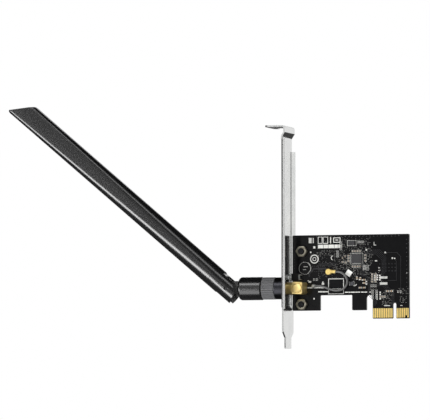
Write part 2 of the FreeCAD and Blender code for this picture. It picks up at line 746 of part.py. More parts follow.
def solder_joints():
    """Small cones of solder behind the board, round each post, pin and lead."""
    pins = [(x, z, POST_DIAMETER) for x, z in post_places()]
    pins.append((JACK_CENTRE, JACK_Z, PIN_DIAMETER))
    pins += [(x, z, LEAD_DIAMETER) for x, z in lead_places()]
    joints = []
    for x, z, size in pins:
        base = V(x, BOARD_THICKNESS, z)
        foot, neck = size / 2 + SOLDER_FOOT, size / 2 + SOLDER_NECK
        cone = Part.makeCone(foot, neck, SOLDER_HEIGHT, base, V(0, 1, 0))
        joints.append(cone.cut(rod(size, base, base + V(0, SOLDER_HEIGHT, 0))))
    return joints


def coupling_nut():
    """Metal nut that screws onto the jack: a smooth ring, and a core inside the grip."""
    end = GRIP_START + GRIP_LENGTH
    edge = NUT_EDGE
    big, core = NUT_DIAMETER / 2, NUT_CORE / 2
    ring_end = GRIP_START - NUT_START
    profile = [(0, big - edge), (edge, big), (ring_end - edge, big)]
    profile += [(ring_end, big - edge), (ring_end, core), (end - NUT_START, core)]
    nut = revolved(profile, on_axis(NUT_START), V(-1, 0, 0))
    thread = rod(BARREL_DIAMETER + 2 * THREAD_CLEARANCE, on_axis(NUT_START), on_axis(CHAMBER_START))
    chamber = rod(CHAMBER_DIAMETER, on_axis(CHAMBER_START), on_axis(end))
    wide = RING_WIDTH / 2 + RING_CLEARANCE
    groove = rod(CHAMBER_DIAMETER + 2 * RING_BITE, on_axis(RING_AT - wide), on_axis(RING_AT + wide))
    return nut.cut(thread.multiFuse([chamber, groove]))


def knurled_grip():
    """Black grip moulded over the nut's core, with straight ribs for the fingers."""
    outer, inner = GRIP_DIAMETER / 2, GRIP_DIAMETER / 2 - GRIP_RIB
    start = on_axis(GRIP_START)
    points = []
    for i in range(2 * GRIP_RIBS + 1):
        radius = inner if i % 2 else outer
        turn = math.pi * i / GRIP_RIBS
        points.append(start + V(0, math.cos(turn), math.sin(turn)) * radius)
    ribs = Part.Face(Part.makePolygon(points)).extrude(V(-GRIP_LENGTH, 0, 0))
    end = on_axis(GRIP_START + GRIP_LENGTH)
    edge = NUT_EDGE
    barrel = [(0, outer - edge), (edge, outer)]
    barrel += [(GRIP_LENGTH - edge, outer), (GRIP_LENGTH, outer - edge)]
    ribs = ribs.common(revolved(barrel, start, V(-1, 0, 0)))
    return ribs.cut(rod(NUT_CORE, start, end))


def retaining_ring():
    """Split ring that locks the nut to the plug's stem and lets both turn."""
    half = RING_WIDTH / 2
    outer = CHAMBER_DIAMETER + 2 * RING_BITE - 2 * RING_CLEARANCE
    inner = STEM_DIAMETER - 2 * RING_BITE + 2 * RING_CLEARANCE
    ring = tube(outer, inner, on_axis(RING_AT - half), on_axis(RING_AT + half))
    along = (-RING_AT - half, -RING_AT + half)
    return ring.cut(block(along, (JACK_Y - outer, JACK_Y), (JACK_Z - half, JACK_Z + half)))


def plug_body():
    """Metal body of the antenna's plug, pressed into the antenna's base."""
    nose = MOUTH_DIAMETER - 2 * NOSE_CLEARANCE
    body = rod(nose, on_axis(MOUTH_FLOOR + SEAT_CLEARANCE), on_axis(STEM_START))
    stem = rod(STEM_DIAMETER, on_axis(STEM_START), on_axis(BASE_START))
    crimp = rod(CRIMP_DIAMETER, on_axis(BASE_START), on_axis(CRIMP_END))
    wide = RING_WIDTH / 2 + RING_CLEARANCE
    waist = STEM_DIAMETER - 2 * RING_BITE
    groove = tube(STEM_DIAMETER + SHEET, waist, on_axis(RING_AT - wide), on_axis(RING_AT + wide))
    bore = rod(nose - 2 * NOSE_WALL, on_axis(MOUTH_FLOOR), on_axis(DIELECTRIC_END))
    lead = rod(CABLE_DIAMETER + 2 * CABLE_CLEARANCE, on_axis(DIELECTRIC_END), on_axis(CRIMP_END))
    return body.multiFuse([stem, crimp]).cut(Part.Compound([groove, bore, lead])).removeSplitter()


def socket_outer():
    """Outside diameter of the plug's centre socket."""
    return PIN_DIAMETER + 2 * SOCKET_CLEARANCE + 2 * SOCKET_WALL


def plug_insulator():
    """White insulator between the plug's body and its centre socket."""
    nose = MOUTH_DIAMETER - 2 * NOSE_CLEARANCE
    start = on_axis(MOUTH_FLOOR + 2 * SEAT_CLEARANCE)
    return tube(nose - 2 * NOSE_WALL, socket_outer(), start, on_axis(DIELECTRIC_END))


def plug_contact():
    """Gold centre socket that takes the jack's pin."""
    start = MOUTH_FLOOR + 2 * SEAT_CLEARANCE
    socket = rod(socket_outer(), on_axis(start), on_axis(DIELECTRIC_END))
    bore = rod(PIN_DIAMETER + 2 * SOCKET_CLEARANCE, on_axis(start), on_axis(start + SOCKET_DEPTH))
    return socket.cut(bore)


def base_sleeve():
    """Black moulded base: a round sleeve over the plug, with the hinge's tongue behind it."""
    shoulder, rim, radius = BASE_SHOULDER, BASE_RIM, BASE_DIAMETER / 2
    foot = [(rim - along, wide) for along, wide in reversed(quarter((0, radius), (rim, radius - rim)))]
    head = quarter((BASE_LENGTH - shoulder, radius), (BASE_LENGTH, radius - shoulder))
    sleeve = revolved(foot + head, on_axis(BASE_START), V(-1, 0, 0))
    half, high = TONGUE_THICKNESS / 2, TONGUE_HEIGHT / 2
    neck = block(
        (PIVOT.x, PIVOT.x + HINGE_REACH + shoulder),
        (JACK_Y - half, JACK_Y + half),
        (JACK_Z - high, JACK_Z + high),
    )
    disc = rod(TONGUE_HEIGHT, PIVOT - V(0, half, 0), PIVOT + V(0, half, 0))
    hollow = [rod(CRIMP_DIAMETER, on_axis(BASE_START), on_axis(CRIMP_END))]
    cable_end = PIVOT_OUT - HINGE_PIN / 2 - PIN_TO_CABLE
    hollow.append(rod(CABLE_DIAMETER + 2 * CABLE_CLEARANCE, on_axis(CRIMP_END), on_axis(cable_end)))
    wide = HINGE_PIN + 2 * HINGE_PIN_CLEARANCE
    hollow.append(rod(wide, PIVOT - V(0, TONGUE_THICKNESS, 0), PIVOT + V(0, TONGUE_THICKNESS, 0)))
    return sleeve.multiFuse([neck, disc]).cut(Part.Compound(hollow)).removeSplitter()


def base_cable():
    """Antenna lead inside the base, from the plug's socket to the hinge."""
    end = PIVOT_OUT - HINGE_PIN / 2 - PIN_TO_CABLE - CABLE_CLEARANCE
    return rod(CABLE_DIAMETER, on_axis(DIELECTRIC_END), on_axis(end))


def raised(shape):
    """Turn a piece of the arm up about the hinge, from straight to the angle it is left at."""
    turned = shape.copy()
    turned.rotate(PIVOT, V(0, 1, 0), ARM_TILT)
    return turned


def at_hinge(along, up=0.0, side=0.0):
    """A point of the straight arm: towards its tip, up and back from the hinge's centre."""
    return PIVOT + V(-along, side, up)


def arm_fork():
    """Black moulded fork with two cheeks round the tongue and a spigot inside the long sleeve."""
    radius = ARM_DIAMETER / 2
    round_bar = rod(ARM_DIAMETER, at_hinge(SEAM_AT), at_hinge(-ARM_TAIL))
    top = radius - CHEEK_RELIEF
    far = radius + SHEET
    cheeks = [
        (PIVOT.x - SEAM_AT, JACK_Z - far, 0),
        (PIVOT.x + ARM_TAIL, JACK_Z - far, 0),
        (PIVOT.x + ARM_TAIL, JACK_Z - radius, 0),
        (PIVOT.x + ARM_TAIL - TAIL_LEAN, JACK_Z + TAIL_HEEL, TAIL_ROUND),
        (PIVOT.x - CHEEK_TOP_END, JACK_Z + top, CHEEK_ROUND),
        (PIVOT.x - RELIEF_END, JACK_Z + top, 0),
        (PIVOT.x - RELIEF_END - CHEEK_RELIEF, JACK_Z + far, 0),
        (PIVOT.x - SEAM_AT, JACK_Z + far, 0),
    ]
    body = round_bar.common(side_plate(cheeks, (JACK_Y - far, JACK_Y + far)))
    spigot = arm_loft(SEAM_AT, SEAM_AT + SPIGOT_LENGTH, ARM_WALL + SPIGOT_CLEARANCE)
    half = TONGUE_THICKNESS / 2 + HINGE_SIDE_GAP
    slot_end = TONGUE_HEIGHT / 2 + SLOT_CLEARANCE
    slot = block(
        (PIVOT.x - slot_end, PIVOT.x + ARM_DIAMETER),
        (JACK_Y - half, JACK_Y + half),
        (JACK_Z - ARM_DIAMETER, JACK_Z + ARM_DIAMETER),
    )
    bore = rod(cable_bore(), at_hinge(slot_end), at_hinge(SEAM_AT + SPIGOT_LENGTH))
    pin = rod(HINGE_PIN, at_hinge(0, side=-ARM_DIAMETER), at_hinge(0, side=ARM_DIAMETER))
    flat = STRIP_THICKNESS / 2 + STRIP_CLEARANCE
    wide = STRIP_WIDTH / 2 + STRIP_CLEARANCE
    seat_end = PIVOT.x - SEAM_AT - SPIGOT_LENGTH
    seat = block(
        (seat_end, seat_end + STRIP_SEAT),
        (JACK_Y - flat, JACK_Y + flat),
        (JACK_Z - wide, JACK_Z + wide),
    )
    return raised(body.fuse(spigot).cut(Part.Compound([slot, bore, pin, seat])).removeSplitter())


def cable_side():
    """How far the arm's cable lies in front of the arm's middle, beside the radiating strip."""
    return STRIP_THICKNESS / 2 + CABLE_CLEARANCE + CABLE_DIAMETER / 2


def cable_bore():
    """Diameter of the fork's bore for the cable."""
    return 2 * (cable_side() + CABLE_DIAMETER / 2 + CABLE_CLEARANCE)


def hinge_pin():
    """Steel pin through both cheeks and the tongue."""
    half = ARM_DIAMETER / 2 - HINGE_PIN_RECESS
    return raised(rod(HINGE_PIN, at_hinge(0, side=-half), at_hinge(0, side=half)))


def blade_wire(along, flatness, inset):
    """The arm's section: round where flatness is 0, a flat blade with round corners where it is 1."""
    radius = ARM_DIAMETER / 2
    high = radius - inset
    corner = radius + (BLADE_CORNER - radius) * flatness
    deep = radius + (BLADE_THICKNESS / 2 - radius) * flatness - inset
    corner = max(corner - inset, SMALLEST_CORNER)
    spread = math.radians(45)
    points = []
    for up, back in ((1, -1), (-1, -1), (-1, 1), (1, 1)):
        centre = V(0, back * (deep - corner), up * (high - corner))
        first = V(0, 0, up) if up * back < 0 else V(0, back, 0)
        last = V(0, back, 0) if up * back < 0 else V(0, 0, up)
        middle = V(0, back * math.sin(spread), up * math.cos(spread))
        points.append([at_hinge(along) + centre + way * corner for way in (first, middle, last)])
    edges = []
    for i, (start, middle, end) in enumerate(points):
        edges.append(Part.Arc(start, middle, end).toShape())
        following = points[(i + 1) % 4][0]
        edges.append(Part.LineSegment(end, following).toShape())
    return Part.Wire(edges)


def arm_loft(start, end, inset):
    """A straight loft of the arm's section between two distances from the hinge."""
    whole = ARM_REACH_LOW - SEAM_AT
    nearly_round = 0.02
    wires = []
    for along in (start, end):
        share = (along - SEAM_AT) / whole
        wires.append(blade_wire(along, nearly_round + (1 - nearly_round) * share, inset))
    return Part.makeLoft(wires, True, True)


def arm_sleeve():
    """Long black cover, round at the hinge and flat at its slanted, closed tip."""
    outer = arm_loft(SEAM_AT, ARM_REACH_LOW, 0)
    radius = ARM_DIAMETER / 2
    beyond = ARM_REACH_LOW + ARM_DIAMETER
    slant = [
        (PIVOT.x - ARM_REACH_LOW, JACK_Z - radius, 0),
        (PIVOT.x - ARM_REACH_HIGH, JACK_Z + radius, 0),
        (PIVOT.x - ARM_REACH_HIGH, JACK_Z + ARM_DIAMETER, 0),
        (PIVOT.x - beyond, JACK_Z + ARM_DIAMETER, 0),
        (PIVOT.x - beyond, JACK_Z - radius, 0),
    ]
    outer = outer.cut(side_plate(slant, (JACK_Y - ARM_DIAMETER, JACK_Y + ARM_DIAMETER)))
    return raised(outer.cut(arm_loft(SEAM_AT, ARM_REACH_HIGH - TIP_WALL, ARM_WALL)))


def radiator_strip():
    """Thin board strip that radiates, seated in the fork's spigot."""
    start = SEAM_AT + SPIGOT_LENGTH - STRIP_SEAT + STRIP_CLEARANCE
    flat, wide = STRIP_THICKNESS / 2, STRIP_WIDTH / 2
    return raised(
        block(
            (PIVOT.x - start - STRIP_LENGTH, PIVOT.x - start),
            (JACK_Y - flat, JACK_Y + flat),
            (JACK_Z - wide, JACK_Z + wide),
        )
    )


def arm_cable():
    """Antenna lead inside the arm, from the hinge to the radiating strip."""
    start = TONGUE_HEIGHT / 2 + SLOT_CLEARANCE
    end = SEAM_AT + SPIGOT_LENGTH + CABLE_OVERLAP
    side = -cable_side()
    return raised(rod(CABLE_DIAMETER, at_hinge(start, side=side), at_hinge(end, side=side)))


def on_board(at, size, lift=0.0):
    """A box on the board's component side, by its centre across and down."""
    x, z = board_x(at[0]), board_z(at[1])
    wide, high, thick = size
    y = (-lift - thick, -lift)
    return block((x - wide / 2, x + wide / 2), y, (z - high / 2, z + high / 2))


def leads_beside(at, size, pitch, counts):
    """Small soldered leads against a chip: so many on each end, and so many above and below."""
    rows, columns = counts
    leads = []
    out = LEAD_REACH / 2
    for i in range(rows):
        down = at[1] + (i - (rows - 1) / 2) * pitch
        for side in (-1, 1):
            across = at[0] + side * (size[0] / 2 + out)
            leads.append(on_board((across, down), (LEAD_REACH, LEAD_WIDTH, LEAD_HEIGHT)))
    for i in range(columns):
        across = at[0] + (i - (columns - 1) / 2) * pitch
        for side in (-1, 1):
            down = at[1] + side * (size[1] / 2 + out)
            leads.append(on_board((across, down), (LEAD_WIDTH, LEAD_REACH, LEAD_HEIGHT)))
    return leads


def chip_body(at, size):
    """A moulded chip package with a chamfered top edge."""
    body = on_board(at, size)
    front = [e for e in body.Edges if all(abs(v.Y + size[2]) < SAME_POINT for v in e.Vertexes)]
    return body.makeChamfer(PACKAGE_CHAMFER, front)


def passive_places():
    """Every chip passive: its size, centre and whether it stands upright, capacitors first."""
    kinds = (
        (CAPACITOR_ROWS, CAPACITOR_COUNTS, SMALL_PASSIVE),
        (LARGE_ROWS, LARGE_COUNTS, LARGE_PASSIVE),
        (RESISTOR_ROWS, RESISTOR_COUNTS, SMALL_PASSIVE),
    )
    places = []
    for kind, (rows, counts, size) in enumerate(kinds):
        for (across, down, step_across, step_down, upright), count in zip(rows, counts):
            for i in range(count):
                at = (across + i * step_across, down + i * step_down)
                places.append((kind, at, size, upright))
    return places


def passive_bodies(resistors):
    """The ceramic bodies of the resistors, or of the capacitors."""
    bodies = []
    for kind, at, (long, wide, high), upright in passive_places():
        if (kind == 2) == resistors:
            middle = long * (1 - 2 * END_CAP_SHARE)
            size = (wide, middle, high) if upright else (middle, wide, high)
            bodies.append(on_board(at, size))
    return bodies


def passive_ends():
    """Tinned end caps of every chip passive."""
    caps = []
    for kind, at, (long, wide, high), upright in passive_places():
        cap = long * END_CAP_SHARE
        away = (long - cap) / 2
        for side in (-1, 1):
            if upright:
                caps.append(on_board((at[0], at[1] + side * away), (wide, cap, high)))
            else:
                caps.append(on_board((at[0] + side * away, at[1]), (cap, wide, high)))
    return caps


def inductor_ends():
    """Tinned wraps at both ends of the power inductor."""
    away = (INDUCTOR_SIZE[0] + INDUCTOR_END) / 2
    size = (INDUCTOR_END, INDUCTOR_SIZE[1], INDUCTOR_END_HEIGHT)
    return [on_board((INDUCTOR_AT[0] + side * away, INDUCTOR_AT[1]), size) for side in (-1, 1)]


def tinned_pads():
    """Bare tinned pads: two long bars and the round test points."""
    pads = []
    for side in (-1, 1):
        at = (BAR_PADS_AT[0], BAR_PADS_AT[1] + side * BAR_PAD_SPACING / 2)
        pads.append(on_board(at, BAR_PAD_SIZE + (PAD_THICKNESS,)))
    for across, down, size in TEST_PADS:
        start = V(board_x(across), 0, board_z(down))
        pads.append(rod(size, start, start - V(0, PAD_THICKNESS, 0)))
    return pads


def inspection_sticker():
    """Small square white sticker, stuck on at a slant."""
    sticker = on_board(STICKER_AT, (STICKER_SIDE, STICKER_SIDE, STICKER_THICKNESS))
    centre = V(board_x(STICKER_AT[0]), 0, board_z(STICKER_AT[1]))
    sticker.rotate(centre, V(0, 1, 0), STICKER_TURN)
    return sticker


def coax_receptacle():
    """Tiny coax socket soldered to the board: a square base and a gold ring."""
    side = RECEPTACLE_SIDE
    base = on_board(RECEPTACLE_AT, (side, side, RECEPTACLE_BASE))
    centre = V(board_x(RECEPTACLE_AT[0]), 0, board_z(RECEPTACLE_AT[1]))
    floor, top = centre - V(0, RECEPTACLE_BASE, 0), centre - V(0, RECEPTACLE_HEIGHT, 0)
    ring = tube(RECEPTACLE_RING, RECEPTACLE_RING - 2 * RECEPTACLE_WALL, floor, top)
    post = rod(RECEPTACLE_WALL * 2, floor, top)
    return base.multiFuse([ring, post])


def coax_plug():
    """Push-on plug: a gold cup over the receptacle's ring, with its crimp round the lead."""
    centre = V(board_x(RECEPTACLE_AT[0]), 0, board_z(RECEPTACLE_AT[1]))
    low, high = centre - V(0, PLUG_FLOOR, 0), centre - V(0, PLUG_HEIGHT, 0)
    cup = rod(PLUG_DIAMETER, low, high)
    crimp_y = (-COAX_EXIT_HEIGHT - COAX_DIAMETER / 2, -PLUG_FLOOR)
    half = CRIMP_WIDTH / 2
    crimp = block((centre.x, centre.x + CRIMP_LENGTH), crimp_y, (centre.z - half, centre.z + half))
    hollow = rod(RECEPTACLE_RING, centre, centre - V(0, RECEPTACLE_HEIGHT, 0))
    return cup.fuse(crimp).cut(hollow)


def coax_anchor():
    """Solder mound and ground clip that hold the lead's far end."""
    long, wide, high = ANCHOR_SIZE
    end = COAX_ROUTE[-1]
    return on_board((end[0] - long / 2, end[1]), (long, wide, high))


def route_points(route):
    """The lead's route as points in space."""
    return [V(board_x(across), -height, board_z(down)) for across, down, height in route]


def cord_path(points):
    """Straight runs joined by arcs as large as both runs allow, with the radii used."""
    edges = []
    radii = []
    start = points[0]
    for before, corner, after in zip(points, points[1:], points[2:]):
        back, on = before - corner, after - corner
        half_turn = (math.pi - back.getAngle(on)) / 2
        reach = ARC_SHARE * min(back.Length, on.Length)
        radius = reach / math.tan(half_turn)
        back.normalize()
        on.normalize()
        enter, leave = corner + back * reach, corner + on * reach
        inward = (back + on).normalize()
        depth = radius / math.cos(half_turn) - radius
        edges.append(Part.LineSegment(start, enter).toShape())
        edges.append(Part.Arc(enter, corner + inward * depth, leave).toShape())
        radii.append(radius)
        start = leave
    edges.append(Part.LineSegment(start, points[-1]).toShape())
    return Part.Wire(edges), radii


def pigtail_coax():
    """Thin coax lead that loops over the board from the push-on plug to its soldered end."""
    path, radii = cord_path(route_points(COAX_ROUTE))
    first = path.Edges[0]
    way = first.tangentAt(first.FirstParameter)
    ring = Part.Wire(Part.Circle(route_points(COAX_ROUTE)[0], way, COAX_DIAMETER / 2).toShape())
    lead = path.makePipeShell([ring], True, False)
    expected = path.Length * math.pi * COAX_DIAMETER**2 / 4
    print("lead length", round(path.Length, 2), "radii", [round(r, 1) for r in radii])
    print("lead volume over section times length", round(lead.Volume / expected, 4))
    return lead


os.makedirs("parts", exist_ok=True)
board_back = BOARD_THICKNESS + CONTACT_THICKNESS
save("bracket", bracket())
save("circuit_board", circuit_board())
save("front_contacts", edge_contacts((-CONTACT_THICKNESS, 0), SHORT_IN_FRONT))
save("back_contacts", edge_contacts((BOARD_THICKNESS, board_back), SHORT_BEHIND))
save("board_screws", board_screws())
save("board_nuts", board_nuts())
save("lamp_holder", lamp_holder())
save("lamp_lens", lamp_lens())
save("lamp_leads", lamp_leads())
save("jack_body", jack_body())
save("jack_insulator", jack_insulator())
save("jack_contact", jack_contact())
save("jack_cap", jack_cap())
save("solder_joints", solder_joints())
save("coupling_nut", coupling_nut())
save("knurled_grip", knurled_grip())
save("retaining_ring", retaining_ring())
save("plug_body", plug_body())
save("plug_insulator", plug_insulator())
save("plug_contact", plug_contact())
save("base_sleeve", base_sleeve())
save("base_cable", base_cable())
save("arm_fork", arm_fork())
save("hinge_pin", hinge_pin())
save("arm_sleeve", arm_sleeve())
save("radiator_strip", radiator_strip())
save("arm_cable", arm_cable())
save("radio_chip", chip_body(CHIP_AT, CHIP_SIZE))
save("radio_chip_leads", leads_beside(CHIP_AT, CHIP_SIZE, CHIP_PITCH, CHIP_LEAD_COUNTS))
save("memory_chip", chip_body(MEMORY_AT, MEMORY_SIZE))
save("memory_chip_leads", leads_beside(MEMORY_AT, MEMORY_SIZE, MEMORY_PITCH, MEMORY_LEAD_COUNTS))
save("crystal", chip_body(CRYSTAL_AT, CRYSTAL_SIZE))
save("power_inductor", on_board(INDUCTOR_AT, INDUCTOR_SIZE))
save("inductor_ends", inductor_ends())
save("capacitors", passive_bodies(False))
save("resistors", passive_bodies(True))
save("passive_ends", passive_ends())
save("tinned_pads", tinned_pads())
save("inspection_sticker", inspection_sticker())
save("coax_receptacle", coax_receptacle())
save("coax_plug", coax_plug())
save("coax_anchor", coax_anchor())
save("pigtail_coax", pigtail_coax())
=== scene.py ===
# %% [markdown]
# A wireless card for a desktop computer, held up by its slot bracket. The construction comes ready
# made: every piece of it is loaded here at its real size and place, on a body that can move. This
# lesson gives those pieces their surfaces and finishes, and builds anew the ones whose look lies in
# fine form, such as threads, ribs, rounded mouldings, solder and printing.

# %% Load the finished construction
import json
from math import cos, pi, radians, sin, sqrt

import bmesh
import bpy
import numpy as np
from mathutils import Matrix, Vector

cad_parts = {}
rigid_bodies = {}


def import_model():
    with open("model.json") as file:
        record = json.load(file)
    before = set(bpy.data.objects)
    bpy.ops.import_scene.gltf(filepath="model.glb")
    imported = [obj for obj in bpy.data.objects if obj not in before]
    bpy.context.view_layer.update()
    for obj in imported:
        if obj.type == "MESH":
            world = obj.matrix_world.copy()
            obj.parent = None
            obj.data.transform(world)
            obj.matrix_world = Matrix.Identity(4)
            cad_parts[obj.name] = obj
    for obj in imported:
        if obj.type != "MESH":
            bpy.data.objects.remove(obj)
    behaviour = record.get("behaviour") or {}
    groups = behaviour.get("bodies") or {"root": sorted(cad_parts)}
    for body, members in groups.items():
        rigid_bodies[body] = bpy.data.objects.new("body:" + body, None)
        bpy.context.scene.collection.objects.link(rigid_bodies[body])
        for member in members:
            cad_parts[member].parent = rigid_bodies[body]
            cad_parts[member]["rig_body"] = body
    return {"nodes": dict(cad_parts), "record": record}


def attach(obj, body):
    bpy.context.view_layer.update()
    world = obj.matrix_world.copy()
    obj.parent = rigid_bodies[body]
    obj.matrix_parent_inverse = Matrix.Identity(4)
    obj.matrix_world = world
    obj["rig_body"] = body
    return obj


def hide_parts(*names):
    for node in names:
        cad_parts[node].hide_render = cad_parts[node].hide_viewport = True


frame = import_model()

scene = bpy.context.scene
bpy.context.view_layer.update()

# %% [markdown]
# The picture is taken with a long lens from a few steps to the right of straight on, and a little
# low. A long lens keeps upright edges parallel, as on a catalogue picture. The other way would be a
# short lens close by, which would make the antenna's tip look larger than its foot.

# %% Camera
MM = 0.001
AIM = Vector((-40.277, -5.0, -43.765)) * MM
CAMERA_AWAY = 2.4
CAMERA_AZIMUTH = radians(18)
CAMERA_ELEVATION = radians(-3)
SENSOR = 36.0
FOCAL_LENGTH = 370.48

level = cos(CAMERA_ELEVATION)
way_out = Vector((sin(CAMERA_AZIMUTH) * level, -cos(CAMERA_AZIMUTH) * level, sin(CAMERA_ELEVATION)))
camera = bpy.data.objects.new("camera", bpy.data.cameras.new("camera"))
scene.collection.objects.link(camera)
camera.location = AIM + CAMERA_AWAY * way_out
camera.rotation_euler = (AIM - camera.location).to_track_quat("-Z", "Y").to_euler()
camera.data.sensor_width = SENSOR
camera.data.sensor_fit = "HORIZONTAL"
camera.data.lens = FOCAL_LENGTH
camera.data.clip_end = 30.0
scene.camera = camera
print("camera at", [round(value, 3) for value in camera.location])

# %% [markdown]
# Every finish starts from a colour as it is written on a screen, which has to be turned into the
# linear light that a renderer adds up. One small function adds a node to a material. Another starts
# a material, with all that is even over the surface set on the shader itself. A third lets one
# pattern drive the colour, the roughness and the relief together, as one cause does on a real skin.

# %% Helpers for finishes
finishes = {}


def linear(text):
    """An sRGB hex colour as linear light: each share divided by 12.92 near black, else by its power curve."""
    shares = np.array([int(text[i:i + 2], 16) for i in (1, 3, 5)]) / 255
    light = np.where(shares <= 0.04045, shares / 12.92, ((shares + 0.055) / 1.055) ** 2.4)
    return (*light.tolist(), 1.0)


def add(tree, kind, inputs=None, **settings):
    """Add a node. Each input is either a plain value or the socket that feeds it."""
    node = tree.nodes.new("ShaderNode" + kind)
    for name, value in settings.items():
        setattr(node, name, value)
    for name, value in (inputs or {}).items():
        if isinstance(value, bpy.types.NodeSocket):
            tree.links.new(value, node.inputs[name])
        else:
            node.inputs[name].default_value = value
    return node


def start_finish(slot, name, colour, **even):
    """A new material for a slot. Gives its shader, its node tree and the place on the object in metres."""
    material = finishes[slot] = bpy.data.materials.new(name)
    material.use_nodes = True
    tree = material.node_tree
    tree.nodes.clear()
    even = {key.replace("_", " "): value for key, value in even.items()}
    shader = add(tree, "BsdfPrincipled", {"Base Color": linear(colour), **even})
    add(tree, "OutputMaterial", {"Surface": shader.outputs[0]})
    return shader, tree, add(tree, "TexCoord").outputs["Object"]


def per(size):
    """The texture scale that repeats about every so many millimetres on coordinates in metres."""
    return 1 / (size * MM)


def noise(tree, place, scale, detail):
    """A cloudy pattern from 0 to 1."""
    return add(tree, "TexNoise", {"Vector": place, "Scale": scale, "Detail": detail}).outputs[0]


def wave(tree, place, size, axis, distortion=0.0):
    """Even bands from 0 to 1 along an axis. The texture's own factor of twenty is taken out."""
    inputs = {"Vector": place, "Scale": per(size) / 20, "Distortion": distortion}
    return add(tree, "TexWave", inputs, bands_direction=axis).outputs[1]


def mixed(tree, share, first, second):
    """A colour between two others, each of them a hex colour or a socket."""
    ends = [linear(end) if isinstance(end, str) else end for end in (first, second)]
    return add(tree, "Mix", {0: share, 6: ends[0], 7: ends[1]}, data_type="RGBA").outputs[2]


def vary(shader, pattern, colours=None, rough=None, relief=None):
    """Let a pattern drive colour and roughness between two ends, or relief of a strength and a depth."""
    tree = shader.id_data
    if colours:
        tree.links.new(mixed(tree, pattern, *colours), shader.inputs["Base Color"])
    if rough:
        ends = add(tree, "MapRange", {"Value": pattern, "To Min": rough[0], "To Max": rough[1]})
        tree.links.new(ends.outputs[0], shader.inputs["Roughness"])
    if relief:
        bump = add(tree, "Bump", {"Height": pattern, "Strength": relief[0], "Distance": relief[1] * MM})
        tree.links.new(bump.outputs[0], shader.inputs["Normal"])


# %% [markdown]
# The bracket is stamped from bright plated sheet. Rolling leaves very fine lines along the sheet,
# which blur a reflection more one way than the other, and the plating is a little cloudy. A mirror
# would be too perfect and a painted grey too dead, so the roughness itself follows the rolled lines.

# %% Plated sheet steel
GRAIN_WIDTH = 0.18
GRAIN_LENGTH = 14.0
CLOUD = 9.0

shader, tree, place = start_finish(
    "plated_steel", "bright_plated_sheet", "#E4E4E2", Metallic=1.0, Roughness=0.16
)
stretch = (per(GRAIN_WIDTH), per(GRAIN_WIDTH), per(GRAIN_LENGTH))
stretched = add(tree, "Mapping", {"Vector": place, "Scale": stretch})
lines = noise(tree, stretched.outputs[0], 1.0, 3.0)
vary(shader, lines, rough=(0.1, 0.24), relief=(0.12, 0.004))
vary(shader, noise(tree, place, per(CLOUD), 2.0), ("#D8D9D9", "#ECECEA"))

# %% [markdown]
# Screws and nuts are turned or headed steel with a thin, slightly yellow passivated zinc layer. It
# is duller than the bracket and spotted where fingers and tools have touched it.

# %% Passivated screw steel
ZINC_SPOT = 0.7

shader, tree, place = start_finish(
    "screw_steel", "passivated_zinc", "#D6D0BC", Metallic=1.0, Roughness=0.3
)
vary(shader, noise(tree, place, per(ZINC_SPOT), 4.0), ("#C2BA9E", "#EAE6D8"), (0.3, 0.46))

# %% [markdown]
# The board is glass cloth in resin under a glossy black lacquer. The cloth's weave shows as a very
# faint waviness, and the cut edge shows the bare brown laminate in layers. The height through the
# board tells the two apart, so one material serves the whole piece.

# %% Black lacquer over glass-fibre board
WEAVE = 0.5
BOARD_MIDDLE = 0.8 * MM
LACQUER_FROM = 0.79 * MM
LAYER = 0.2
DUST = 3.0
LACQUER_BLACK = "#121213"

shader, tree, place = start_finish(
    "solder_mask",
    "black_solder_lacquer",
    LACQUER_BLACK,
    Roughness=0.2,
    IOR=1.5,
    Specular_IOR_Level=0.22,
)
axes = add(tree, "SeparateXYZ", {"Vector": place})
from_middle = add(tree, "Math", {0: axes.outputs["Y"], 1: BOARD_MIDDLE}, operation="SUBTRACT")
depth = add(tree, "Math", {0: from_middle.outputs[0]}, operation="ABSOLUTE")
on_face = add(tree, "Math", {0: depth.outputs[0], 1: LACQUER_FROM}, operation="GREATER_THAN")
laminate = mixed(tree, wave(tree, place, LAYER, "Y", 1.5), "#17140D", "#2B2517")
vary(shader, on_face.outputs[0], (laminate, LACQUER_BLACK))
warp, weft = (wave(tree, place, WEAVE, axis) for axis in "XZ")
weave = add(tree, "Math", {0: warp, 1: weft}, operation="ADD")
vary(shader, weave.outputs[0], relief=(0.1, 0.01))
vary(shader, noise(tree, place, per(DUST), 5.0), rough=(0.14, 0.26))

# %% [markdown]
# Copper tracks lie under the same lacquer, which looks a shade lighter where copper is close below
# it. White legend ink is screened on top: matt, slightly grey and uneven at its edges.

# %% Lacquer over copper, and legend ink
COPPER_CLOUD = 2.0
SCREEN_MARK = 0.25

shader, tree, place = start_finish(
    "buried_copper", "lacquer_over_copper", "#17171A", Roughness=0.3, IOR=1.5
)
vary(shader, noise(tree, place, per(COPPER_CLOUD), 4.0), ("#121214", "#222226"))

shader, tree, place = start_finish("legend_ink", "white_legend_ink", "#E2E2DC", Roughness=0.7)
vary(shader, noise(tree, place, per(SCREEN_MARK), 3.0), ("#B9B9B4", "#F2F2EE"))

# %% [markdown]
# Two golds: hard gold plated flat on the edge contacts, and gold over turned brass on the radio
# jack. Both are true metals. The flat one is smooth with faint rubbing marks, and the turned one
# carries fine rings from the lathe.

# %% Gold on contacts and gold on turned brass
RUB = 0.12
RUB_LENGTH = 4.0
LATHE = 0.16
BLUSH = 2.5

shader, tree, place = start_finish("contact_gold", "hard_gold", "#FBDD85", Metallic=1.0, Roughness=0.42)
stretched = add(tree, "Mapping", {"Vector": place, "Scale": (per(RUB), per(RUB), per(RUB_LENGTH))})
vary(shader, noise(tree, stretched.outputs[0], 1.0, 2.0), ("#F4D070", "#FFE9A0"), (0.36, 0.5))

